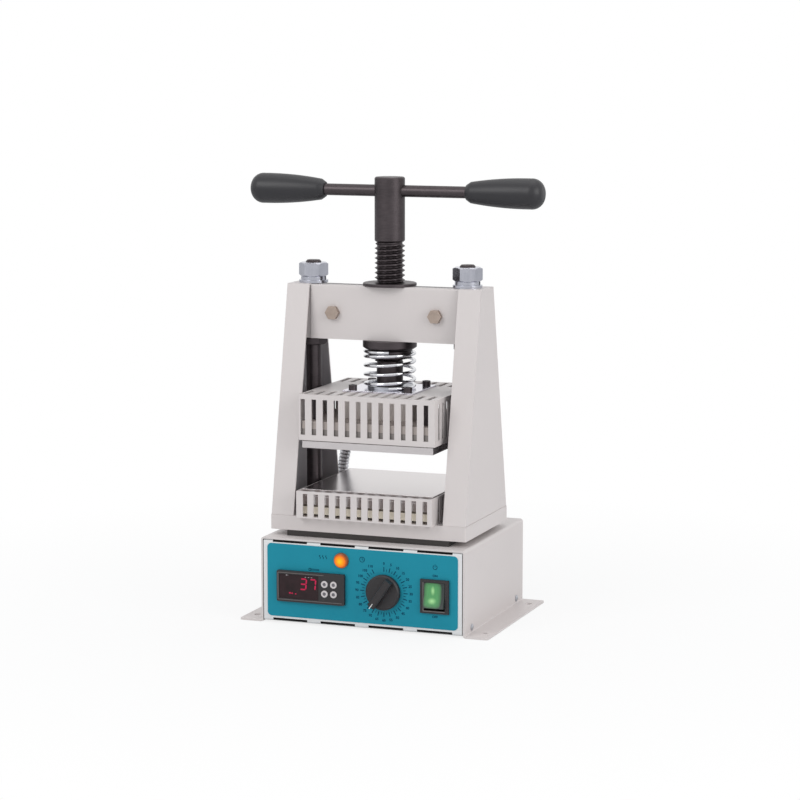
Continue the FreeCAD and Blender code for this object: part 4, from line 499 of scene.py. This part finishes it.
EASED = {
    "base_cover": 0.25, "chassis": 0.25, "panel_label": 0.12, "controller_case": 0.35, "switch_frame": 0.4,
    "insulating_spacer": 0.4, "base_plate": 0.6, "beam_cover": 0.3,
    "crossbeam": 0.6, "lower_platen": 0.3, "upper_platen": 0.3,
    "lower_heater_block": 0.3, "upper_heater_block": 0.3, "retaining_plate": 0.2,
    "rod_washers": 0.2, "beam_bolts": 0.25, "timer_knob": 0.3, "inlet_socket": 0.3, "fuse_holder": 0.25,
    "screw_nut": 0.3, "beam_ring": 0.2, "conduit_elbow": 0.3, "conduit_gland": 0.3, "cap_screws": 0.25,
    "thrust_housing": 0.3, "tommy_bar": 0.4, "grip_left": 0.3, "grip_right": 0.3, "switch_rocker": 0.25,
    "cover_screws": 0.0, "lamp_lens": 0.0, "spring_seat": 0.2, "tie_rod_left": 0.0, "tie_rod_right": 0.0,
    "controller_window": 0.2,
}
# The upper heater block takes the painted shade of the space inside the upper guard.
OWN_FINISH = {"crossbeam": painted_ends(), "thrust_housing": housing_cast,
              "upper_heater_block": shaded_block_tone}
skins = {node: dressed(node, width, finish=OWN_FINISH.get(node)) for node, width in EASED.items()}
# Behind the upper guard the board and heater take the painted shade, and the posts black oxide.
BEHIND_GUARD = {"upper_board": shaded_board_tone, "upper_heater": shaded_board_tone, "guard_posts": finishes["black_oxide"]}
for node, finish in BEHIND_GUARD.items():
    frame["nodes"][node].data.materials[0] = finish.material

BOX_HALF_WIDTH = 108.5
BOX_HALF_DEPTH = 93.9
PANEL_HALF_DEPTH = 91.2
BOX_FLOOR = 2.5
BOX_LID = 87.0
FOLD_TOP = 86.4
COLUMN_MIDDLE = 92.5
COLUMN_FRONT_EDGE = 80.9


def inside_cover(centre, normal):
    """The faces of the cover that look into the box, which take the near-black painted shade."""
    x, y, z = centre.T
    return (np.abs(x) < BOX_HALF_WIDTH) & (np.abs(y) < BOX_HALF_DEPTH) & (z > BOX_FLOOR) & (z < BOX_LID)


def inside_chassis(centre, normal):
    """All but what faces out of the front and the back, with the folds between the slots: the faces that take
    the near-black painted shade.
    """
    depth = np.abs(centre[:, 1])
    outwards = normal[:, 1] * np.sign(centre[:, 1]) > 0.2
    fold = (centre[:, 2] > FOLD_TOP) & (normal[:, 2] > 0.5)
    return ~((depth > BOX_HALF_DEPTH) | (outwards & (depth > PANEL_HALF_DEPTH)) | fold)


def inside_column(centre, normal):
    """The faces that look towards the upright line through the middle of their own column, which take a
    darker copy of the coat as painted shade.
    """
    x, y = centre[:, 0], centre[:, 1]
    inwards = (np.sign(x) * COLUMN_MIDDLE - x) * normal[:, 0] + (PRESS_Y - y) * normal[:, 1] > 0
    return inwards & (np.abs(x) > COLUMN_FRONT_EDGE)


# The inside of the base cover and of the chassis gets the painted shade.
two_tone(skins["base_cover"], painted_box_shade, inside_cover)
two_tone(skins["chassis"], painted_box_shade, inside_chassis)
# The inward faces of both column covers get the painted shade.
for node in ("column_cover_left", "column_cover_right"):
    two_tone(dressed(node, 0.25), painted_column_shade, inside_column)


# Folded guards, with slots through their sheet

GUARD_HALF = 73.3
GUARD_SHEET = 1.5
LID_HOLE_HALF = 22.0


def slot_cuts(low, high, count, pitch, width, middle):
    """The places where a wall's cells begin and end: every second cell is a slot."""
    centres = middle + pitch * (np.arange(count) - (count - 1) / 2)
    return np.concatenate([[low], np.stack([centres - width / 2, centres + width / 2], -1).ravel(), [high]])


def pierced(across, along, place, hole):
    """A flat sheet of cells between two lists of cuts, without the cells that the hole rule picks.

    The place function turns the two coordinates of a corner into X, Y and Z.
    """
    first, second = np.meshgrid(across, along, indexing="ij")
    points = np.stack(place(first.ravel(), second.ravel()), -1)
    cells = quads(len(across), len(along))
    column, row = np.divmod(np.arange(len(cells)), len(along) - 1)
    return points * MM, cells[~hole(column, row)]


def folded_guard(name, node, body, front, back, low, high, foot, head, slots, top_slots=None):
    """Four walls with upright slots, and with top_slots a lid with slots at its front and back.

    Every wall is a grid of cells between its cuts, and the cells that are slots are left out. The lid also
    has a square hole round the screw. The sheet then gets its thickness inwards.
    """
    count, sides, pitch, width, middle = slots
    levels = np.array([low, low + foot, high - head, high])
    row_x = slot_cuts(-GUARD_HALF, GUARD_HALF, count, pitch, width, middle)
    row_y = slot_cuts(front, back, sides, pitch, width, (front + back) / 2)

    rows = row_y
    if top_slots:
        inset, length = top_slots
        rows = np.unique(np.concatenate([row_y, [
            front + inset, front + inset + length, PRESS_Y - LID_HOLE_HALF, PRESS_Y + LID_HOLE_HALF,
            back - inset - length, back - inset]]))
    middles = (rows[1:] + rows[:-1]) / 2
    side_slot = np.searchsorted(row_y, middles) % 2 == 0

    sheets = [pierced(row_x, levels, lambda u, v, y=y: (u, 0 * u + y, v),
                      lambda column, row: (column % 2 == 1) & (row == 1)) for y in (front, back)]
    sheets += [pierced(rows, levels, lambda u, v, x=x: (0 * u + x, u, v),
                       lambda column, row: side_slot[column] & (row == 1))
               for x in (-GUARD_HALF, GUARD_HALF)]
    if top_slots:
        columns = (row_x[1:] + row_x[:-1]) / 2

        def lid_hole(column, row):
            y, x = middles[row], columns[column]
            near = np.minimum(y - front, back - y)
            slotted = (column % 2 == 1) & (near > inset) & (near < inset + length)
            return slotted | ((np.abs(y - PRESS_Y) < LID_HOLE_HALF) & (np.abs(x) < LID_HOLE_HALF))

        sheets.append(pierced(row_x, rows, lambda u, v: (u, v, 0 * u + high), lid_hole))
    mesh = closed(name, *joined(sheets), finishes["powder_coat"], merge=1e-6)
    middle_point = Vector((0, PRESS_Y * MM, (low + high) / 2 * MM))
    if sum((face.center - middle_point).dot(face.normal) for face in mesh.polygons) < 0:
        mesh.flip_normals()
    piece = new_piece(name, mesh, body, "powder_coat", node)
    wall = piece.modifiers.new("sheet", "SOLIDIFY")
    wall.thickness = GUARD_SHEET * MM
    wall.offset = -1.0
    wall.use_even_offset = True
    eased(piece, 0.3)


folded_guard("lower_guard_sheet", "lower_guard", "frame", -88.6, 60.0, 109.4, 137.3, 1.5, 2.7,
             (12, 10, 11.75, 5.0, 1.0))
folded_guard("upper_guard_sheet", "upper_guard", "platen", -80.5, 54.5, 188.5, 235.5, 5.5, 5.0,
             (12, 10, 12.07, 5.0, -2.6), (4.0, 28.0))


# Nuts on the tie rods

def hexagon_nut(x, y, low, high, flats, bore, turn, chamfer=1.6, around=96):
    """A nut with turned corners.

    At each angle the side lies at the hexagon, half the flats over the cosine of the angle from the middle
    of its flat. Near both ends a cone cuts the corners: there the radius is at most 0.475 of the flats
    plus the height from the end over the tangent of 30 degrees.
    """
    angle = np.linspace(0, TURN, around, endpoint=False) + turn
    off_flat = (angle - turn + math.pi / 6) % (math.pi / 3) - math.pi / 6
    hexagon = flats / 2 / np.cos(off_flat)
    rise = np.concatenate([np.linspace(0, chamfer, 7), high - low - np.linspace(chamfer, 0, 7)])
    end = np.minimum(rise, high - low - rise)
    side = np.minimum(hexagon[None], (0.475 * flats + end / math.tan(math.pi / 6))[:, None])
    rings = np.concatenate([np.full((1, around), bore), side, np.full((1, around), bore)])
    levels = low + np.concatenate([[0], rise, [high - low]])
    points = np.stack([x + rings * np.cos(angle), y + rings * np.sin(angle),
                       np.repeat(levels[:, None], around, 1)], -1)
    return points.reshape(-1, 3) * MM, quads(len(levels), around, close_rows=True, close_columns=True)


ROD_BORE = 8.1
UNDER_BEAM = 300.0

nut_parts = [hexagon_nut(x, PRESS_Y, low, high, flats, ROD_BORE, math.radians(turn))
             for x, turn in ((-84.0, -76.0), (84.0, -72.0))
             for low, high, flats in ((349.3, 363.8, 26.4), (278.7, 286.7, 24.0))]
nuts = new_piece("rod_nut_set", closed("rod_nut_set", *joined(nut_parts), finishes["plated_steel"], 28),
                 "frame", "plated_steel", "rod_nuts")
two_tone(nuts, finishes["black_oxide"], lambda centre, normal: centre[:, 2] < UNDER_BEAM)


# Soft pieces: the spring and the conduit, which reach between the frame and the platen

def stretched(node):
    """A smooth copy of a node, with its place baked into its points and riding on no body."""
    piece = dressed(node, 0.0, 50.0, body=None)
    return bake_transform(piece)


stretched("return_spring")
conduit = stretched("conduit")
CONDUIT_ROUTE = np.array([(-67.8, 193.5), (-75.0, 178.7), (-79.7, 158.4), (-83.3, 141.0), (-84.3, 130.0),
                          (-84.3, 96.5)])
CONDUIT_Y = 65.5
GROOVE_RADIUS = 5.35


def in_groove(centre, normal):
    """Faces nearer to the conduit's middle line, run by run in X and Z, than the crests of its ribs: they
    take the painted shade.
    """
    nearest = np.full(len(centre), np.inf)
    spot = centre[:, (0, 2)]
    for start, end in zip(CONDUIT_ROUTE[:-1], CONDUIT_ROUTE[1:]):
        run = end - start
        share = np.clip((spot - start) @ run / (run @ run), 0, 1)
        offset = spot - start - share[:, None] * run
        nearest = np.minimum(nearest, np.hypot(np.hypot(*offset.T), centre[:, 1] - CONDUIT_Y))
    return nearest < GROOVE_RADIUS


two_tone(conduit, groove_shade_steel, in_groove)


# The screw's thread

THREAD_LOW, THREAD_HIGH = 262.0, 387.2
THREAD_PITCH = 5.0
CREST_RADIUS, ROOT_RADIUS = 15.7, 13.0
THREAD_AROUND = 72
ROWS_PER_TURN = 14
HUB_FOOT = 387.15
SHANK_PROFILE = [
    (0, 227.7), (17.6, 227.7), (18.5, 228.6), (18.5, 232.9), (17.7, 233.7), (13.5, 233.7), (13.5, 261.4),
    (12.9, 262.0), (12.4, 262.6), (0, 262.6)]


def screw_thread(low, high, pitch, crest, root, around):
    """A right-handed thread: the radius follows a sharp-sided wave of the height less the angle's share.

    The wave is 0 at the root and 1 at the crest. Both have short flats, and straight flanks join them.
    The radius at (angle t, height z) is the root plus the depth times the wave of z / pitch - t / turn,
    and both ends fade to the root.
    """
    rows = int((high - low) / pitch * ROWS_PER_TURN) + 1
    height = np.linspace(low, high, rows)[:, None]
    angle = np.linspace(0, TURN, around, endpoint=False)[None, :]
    phase = (height / pitch - angle / TURN) % 1.0
    wave = np.clip((0.5 - np.abs(phase - 0.5)) * 2.9 - 0.45, 0, 1)
    fade = np.clip((high - height) / (0.6 * pitch), 0, 1) * np.clip((height - low) / (0.6 * pitch), 0, 1)
    radius = root + (crest - root) * wave * fade
    points = np.stack([radius * np.cos(angle), PRESS_Y + radius * np.sin(angle), height + 0 * angle], -1)
    return points.reshape(-1, 3) * MM, quads(rows, around, close_columns=True)


def capped(points, faces, around):
    """The same tube with a fan of faces over its first and last rings."""
    count = len(points)
    ends = np.array([points[:around].mean(0), points[-around:].mean(0)])
    ring = np.arange(around)
    nearer = np.stack([np.full(around, count), (ring + 1) % around, ring], -1)
    farther = np.stack([np.full(around, count + 1), count - around + ring,
                        count - around + (ring + 1) % around], -1)
    return np.concatenate([points, ends]), [*faces.tolist(), *nearer.tolist(), *farther.tolist()]


thread = screw_thread(THREAD_LOW, THREAD_HIGH, THREAD_PITCH, CREST_RADIUS, ROOT_RADIUS, THREAD_AROUND)
thread = capped(*thread, THREAD_AROUND)
new_piece("screw_thread", new_mesh("screw_thread", *thread, finishes["black_oxide"], 24.0), "screw",
          "black_oxide")
shank = lathe(SHANK_PROFILE, (0, PRESS_Y, 0), segments=96)
new_piece("screw_shank", closed("screw_shank", *shank, finishes["black_oxide"], 35), "screw", "black_oxide")

HUB_ANGLE = 30.0
hub = dressed("press_screw", 0.0, HUB_ANGLE)
work = bmesh.new()
work.from_mesh(hub.data)
below = [face for face in work.faces if face.calc_center_median().z < HUB_FOOT * MM]
bmesh.ops.delete(work, geom=below, context="FACES")
rim = [edge for edge in work.edges if edge.is_boundary]
bmesh.ops.holes_fill(work, edges=rim, sides=0)
bmesh.ops.recalc_face_normals(work, faces=work.faces)
work.to_mesh(hub.data)
work.free()
hub.data.shade_smooth()
hub.data.set_sharp_from_angle(angle=math.radians(HUB_ANGLE))
eased(hub, 0.3)


# Print on the panel, in thin raised ink, and painted highlights along the bezels' rims

INK = 0.06


def ink_boxes(centres, sizes, turns, front, thickness=INK):
    """Thin boxes on the panel: a unit square scaled by each size, turned by each angle clockwise as seen
    from the front, moved to each centre, and given the ink's thickness towards the front."""
    corner = np.array([(-0.5, -0.5), (0.5, -0.5), (0.5, 0.5), (-0.5, 0.5)])
    centres, sizes, turns = (np.atleast_2d(np.asarray(part, float)) for part in (centres, sizes, turns))
    turns = turns.reshape(-1)
    local = corner[None] * sizes[:, None]
    cos, sin = np.cos(turns)[:, None], np.sin(turns)[:, None]
    across = local[..., 0] * cos + local[..., 1] * sin + centres[:, None, 0]
    rise = -local[..., 0] * sin + local[..., 1] * cos + centres[:, None, 1]
    near = np.stack([across, np.full_like(across, front - thickness), rise], -1)
    far = near + (0, thickness, 0)
    points = np.concatenate([near, far], 1).reshape(-1, 3) * MM
    box = np.array([(0, 1, 2, 3), (7, 6, 5, 4), (0, 4, 5, 1), (1, 5, 6, 2), (2, 6, 7, 3), (3, 7, 4, 0)])
    faces = (box[None] + 8 * np.arange(len(local))[:, None, None]).reshape(-1, 4)
    return points, faces


def words(name, entries, size, front, finish, weight=0.0):
    """Numerals as thin meshes on the panel: entries are (text, x, z, turn)."""
    points, faces = [], []
    for text, x, z, turn in entries:
        curve = bpy.data.curves.new(name, "FONT")
        curve.body = text
        curve.size = size * MM
        curve.align_x = "CENTER"
        curve.align_y = "CENTER"
        curve.extrude = INK / 2 * MM
        curve.offset = weight * MM
        curve.resolution_u = 3
        holder = bpy.data.objects.new(name, curve)
        bpy.context.scene.collection.objects.link(holder)
        bpy.context.view_layer.update()
        mesh = bpy.data.meshes.new_from_object(holder.evaluated_get(bpy.context.evaluated_depsgraph_get()))
        flat = np.empty(len(mesh.vertices) * 3, np.float32)
        mesh.vertices.foreach_get("co", flat)
        flat = flat.reshape(-1, 3)
        cos, sin = math.cos(turn), math.sin(turn)
        start = sum(len(part) for part in points)
        points.append(np.stack([flat[:, 0] * cos + flat[:, 1] * sin + x * MM,
                                (front - INK / 2) * MM - flat[:, 2],
                                -flat[:, 0] * sin + flat[:, 1] * cos + z * MM], -1))
        faces += [[start + vertex for vertex in polygon.vertices] for polygon in mesh.polygons]
        bpy.data.objects.remove(holder)
        bpy.data.curves.remove(curve)
        bpy.data.meshes.remove(mesh)
    return new_piece(name, closed(name, np.concatenate(points), faces, finish, merge=1e-7), "frame",
                     "panel_film")


DIAL_X, DIAL_Z = 24.3, 41.0
TICKS = 45
TICK_STEP = 7.5
NUMBER_RADIUS = 29.2
SWITCH_X = 78.95

steps = np.arange(TICKS)
dial_angle = np.radians(TICK_STEP * steps)
long_tick = steps % 2 == 0
tick_inner = 21.0
tick_outer = np.where(long_tick, 25.6, 23.6)
tick_middle = (tick_inner + tick_outer) / 2
tick_centres = np.stack([DIAL_X + tick_middle * np.sin(dial_angle),
                         DIAL_Z + tick_middle * np.cos(dial_angle)], -1)
tick_sizes = np.stack([np.where(long_tick, 0.9, 0.55), tick_outer - tick_inner], -1)
ticks = ink_boxes(tick_centres, tick_sizes, dial_angle, FILM_FRONT)
new_piece("dial_ticks", new_mesh("dial_ticks", *ticks, print_ink), "frame", "panel_film")
numbers = [(str(5 * index), DIAL_X + NUMBER_RADIUS * math.sin(turn),
            DIAL_Z + NUMBER_RADIUS * math.cos(turn), 0.0)
           for index, turn in enumerate(dial_angle[long_tick].tolist())]
words("dial_numbers", numbers, 3.7, FILM_FRONT, print_ink, 0.1)
words("switch_marks", [("ON", SWITCH_X, 61.4, 0.0), ("OFF", SWITCH_X, 19.6, 0.0)], 3.4, FILM_FRONT,
      print_ink, 0.1)


def strokes(line, width, front):
    """Boxes along a line of points, each long enough to round the corner to the next."""
    line = np.asarray(line, float)
    start, end = line[:-1], line[1:]
    run = end - start
    length = np.hypot(*run.T)
    return ink_boxes((start + end) / 2, np.stack([np.full(len(run), width), length + width * 0.6], -1),
                     np.arctan2(run[:, 0], run[:, 1]), front)


def circle(x, z, radius, start=0.0, sweep=TURN, count=18):
    """Points on an arc: the centre plus the radius times (sin t, cos t), clockwise from the top."""
    angle = start + np.linspace(0, sweep, count + 1)
    return np.stack([x + radius * np.sin(angle), z + radius * np.cos(angle)], -1)


def signs(name, parts, finish, record_slot="panel_film"):
    """One piece from several sets of boxes."""
    return new_piece(name, new_mesh(name, *joined(parts), finish), "frame", record_slot)


SIGN_LINE = 0.55
WAVES_X, WAVES_Z = (-45.0, -41.6, -38.2), 70.4
WAVE_HEIGHT, WAVE_SWING = 3.4, 0.7
BULB_X, BULB_Z = -51.5, 58.4
CLOCK_X, CLOCK_Z = 0.9, 72.6
POWER_Z = 70.2

wave = np.linspace(0, TURN, 9)
wave_line = np.stack([WAVE_SWING * np.sin(wave), WAVES_Z + WAVE_HEIGHT * wave / TURN], -1)
stem = np.array([(-3.4, 0.55), (5.0, 0.55), (5.4, 0.0), (5.0, -0.55), (-3.4, -0.55)])
hands = np.array([(0.0, 1.8), (0.0, 0.0), (1.3, -0.8)])
sign_lines = [wave_line + (x, 0) for x in WAVES_X]
sign_lines += [circle(BULB_X - 4.6, BULB_Z, 1.2), stem + (BULB_X, BULB_Z)]
sign_lines += [circle(CLOCK_X, CLOCK_Z, 2.6), hands + (CLOCK_X, CLOCK_Z)]
sign_lines += [circle(SWITCH_X, POWER_Z, 2.2, math.radians(35), math.radians(290)),
               [(SWITCH_X, POWER_Z + 0.2), (SWITCH_X, POWER_Z + 3.0)]]
signs("panel_signs", [strokes(line, SIGN_LINE, FILM_FRONT) for line in sign_lines], print_ink)

# Light strokes along the inner rims of the controller's bezel and the switch's frame: painted highlights.
BEZEL_HIGHLIGHT_LINES = (([(-89.7, 53.4), (-89.7, 26.2)], 0.7), ([(-89.7, 26.2), (-20.0, 26.2)], 0.5),
                    ([(-89.7, 53.9), (-40.0, 53.9)], 0.5))
SWITCH_HIGHLIGHT_LINES = (([(67.1, 54.6), (67.1, 26.2)], 0.8), ([(67.1, 25.6), (89.6, 25.6)], 0.9))
for name, lines, front in (("bezel_edges", BEZEL_HIGHLIGHT_LINES, BEZEL_FRONT),
                           ("switch_edges", SWITCH_HIGHLIGHT_LINES, SWITCH_FRONT)):
    signs(name, [strokes(line, width, front) for line, width in lines], bezel_highlight, "black_plastic")


# The controller's display, lamps and keys

BAR_GAP = 0.22
NUMERAL_GAP = 3.9
BAR_DEPTH = 0.08


def seven_segments(text, left, bottom, width, height, stroke, front, lean=0.09):
    """Numerals of seven bars: each bar is a hexagon, and the whole leans to the right with its height."""
    bars = {"a": (0.5, 1.0, 0), "b": (1.0, 0.75, 1), "c": (1.0, 0.25, 1), "d": (0.5, 0.0, 0),
            "e": (0.0, 0.25, 1), "f": (0.0, 0.75, 1), "g": (0.5, 0.5, 0)}
    lit_bars = {"3": "abcdg", "7": "abc"}
    points, faces = [], []
    for place, numeral in enumerate(text):
        for bar in lit_bars[numeral]:
            across, rise, upright = bars[bar]
            half = (height / 4 if upright else width / 2) - BAR_GAP
            thick = stroke / 2
            shape = np.array([(-half, 0), (-half + thick, thick), (half - thick, thick), (half, 0),
                              (half - thick, -thick), (-half + thick, -thick)])
            if upright:
                shape = shape[:, ::-1] * (-1, 1)
            shape = shape + (across * width, rise * height)
            x = left + place * (width + NUMERAL_GAP) + shape[:, 0] + lean * shape[:, 1]
            z = bottom + shape[:, 1]
            start = len(points)
            for y in (front - BAR_DEPTH, front):
                points += np.stack([x, np.full(6, y), z], -1).tolist()
            ring = np.arange(6)
            faces += [(ring + start).tolist(), (ring[::-1] + start + 6).tolist()]
            after = (ring + 1) % 6
            faces += (np.stack([ring, ring + 6, after + 6, after], -1) + start).tolist()
    return np.array(points) * MM, faces


PANE_FRONT = BEZEL_FRONT + 0.6
digits = seven_segments("37", -65.6, 37.8, 6.2, 10.8, 1.5, PANE_FRONT)
new_piece("display_digits", closed("display_digits", *digits, red_glow, merge=1e-7), "frame",
          "window_plastic")
signals = ink_boxes([(-76.8, 33.2), (-74.4, 33.0), (-70.4, 32.6)], [(2.0, 1.5), (1.6, 1.3), (1.5, 1.1)],
                    [0.0, 0.0, 0.0], PANE_FRONT)
new_piece("display_signals", new_mesh("display_signals", *signals, red_glow), "frame", "window_plastic")
small_marks = ink_boxes([(-80.6, 51.5), (-79.0, 51.5), (-59.5, 50.6), (-56.2, 50.6), (-53.0, 50.6)],
                        [(0.9, 1.3), (0.6, 0.9), (1.6, 0.6), (1.6, 0.6), (1.6, 0.6)], [0.0] * 5, PANE_FRONT)
new_piece("display_marks", new_mesh("display_marks", *small_marks, small_print), "frame", "window_plastic")

KEY_PLACES = {"controller_key_1": (-38.7, 44.8), "controller_key_2": (-28.8, 44.8),
              "controller_key_3": (-38.7, 34.9), "controller_key_4": (-28.8, 34.9)}
KEY_DISH = 1.8
KEY_PROFILE = [(0, 3.9), (3.6, 3.9), (3.6, -0.2), (3.45, -0.62), (3.1, -0.86), (2.4, -0.9), (2.05, -0.8),
               (KEY_DISH, -0.45), (1.3, -0.4), (0, -0.4)]
for node, (x, z) in KEY_PLACES.items():
    name = node + "_cap"
    cap = lathe(KEY_PROFILE, (x, BEZEL_FRONT, z), "Y", 40)
    key = new_piece(name, closed(name, *cap, finishes["key_white"], 40), BODY_OF[node], "key_white", node)
    two_tone(key, key_centre, lambda centre, normal: (
        (np.hypot(centre[:, 0] - x, centre[:, 2] - z) < KEY_DISH) & (centre[:, 1] < BEZEL_FRONT)))


# The knob's pointer

KNOB_TURN = math.radians(215)
POINTER_RADIUS = 15.2
pointer_place = (DIAL_X + POINTER_RADIUS * math.sin(KNOB_TURN), DIAL_Z + POINTER_RADIUS * math.cos(KNOB_TURN))
pointer = ink_boxes([pointer_place], [(0.75, 6.4)], [KNOB_TURN], KNOB_FRONT)
new_piece("knob_pointer", new_mesh("knob_pointer", *pointer, white_ink), "timer", "black_plastic")


# Floor, world and lamps

FLOOR_HALF = 20.0
FLOOR_BELOW = 0.0002
FADE_REACH = 700.0

floor_mesh = bpy.data.meshes.new("floor")
floor_mesh.from_pydata([(-FLOOR_HALF, -FLOOR_HALF, 0), (FLOOR_HALF, -FLOOR_HALF, 0),
                        (FLOOR_HALF, FLOOR_HALF, 0), (-FLOOR_HALF, FLOOR_HALF, 0)], [], [(0, 1, 2, 3)])
floor = bpy.data.objects.new("floor", floor_mesh)
floor.location.z = -FLOOR_BELOW
bpy.context.scene.collection.objects.link(floor)
ground = Finish("floor", Base_Color=display(236, 236, 236), Roughness=0.9)
seen = ground.node("ShaderNodeLightPath", {}, {}, "Is Camera Ray")
glow = ground.node("ShaderNodeEmission", {}, {"Color": (1, 1, 1, 1)}, "Emission")
reach = (ground.from_point(0.0, 0.0, 0.0) / FADE_REACH).held(0.0, 1.0)
plain = Value(ground, ground.surface.outputs[0])
mixed = ground.node("ShaderNodeMixShader", {}, {0: seen * (0.8 + reach * 0.2), 1: plain, 2: glow}, "Shader")
output = next(node for node in ground.tree.nodes if node.type == "OUTPUT_MATERIAL")
ground.feed(output.inputs["Surface"], mixed)
floor_mesh.materials.append(ground.material)

world = bpy.data.worlds.new("studio")
bpy.context.scene.world = world
world.use_nodes = True
tree = world.node_tree
tree.nodes.clear()
paths = tree.nodes.new("ShaderNodeLightPath")


def backdrop(colour, strength):
    """One plain colour of the world round the press."""
    background = tree.nodes.new("ShaderNodeBackground")
    background.inputs["Color"].default_value = colour
    background.inputs["Strength"].default_value = strength
    return background.outputs[0]


room = backdrop((0.95, 0.97, 1.0, 1), 0.62)
white = backdrop((1, 1, 1, 1), 1.0)
sees_white = paths.outputs["Is Camera Ray"]
for ray in ("Is Glossy Ray", "Is Transmission Ray"):
    either = tree.nodes.new("ShaderNodeMath")
    either.operation = "MAXIMUM"
    tree.links.new(sees_white, either.inputs[0])
    tree.links.new(paths.outputs[ray], either.inputs[1])
    sees_white = either.outputs[0]
choice = tree.nodes.new("ShaderNodeMixShader")
for socket, source in zip(choice.inputs, (sees_white, room, white)):
    tree.links.new(source, socket)
out = tree.nodes.new("ShaderNodeOutputWorld")
tree.links.new(choice.outputs[0], out.inputs["Surface"])

LAMP_AIM = Vector((0, 0, 0.2))


def soft_lamp(name, place, power, size):
    """A square soft box that faces the middle of the press."""
    light = bpy.data.lights.new(name, "AREA")
    light.energy = power
    light.size = size
    lamp = bpy.data.objects.new(name, light)
    lamp.location = place
    lamp.rotation_euler = (LAMP_AIM - Vector(place)).to_track_quat("-Z", "Y").to_euler()
    bpy.context.scene.collection.objects.link(lamp)


soft_lamp("key", (-1.2, -2.3, 1.9), 22.0, 1.4)
soft_lamp("fill", (2.5, -0.9, 1.2), 22.0, 1.6)
soft_lamp("top", (0.2, 0.2, 2.6), 9.0, 1.8)
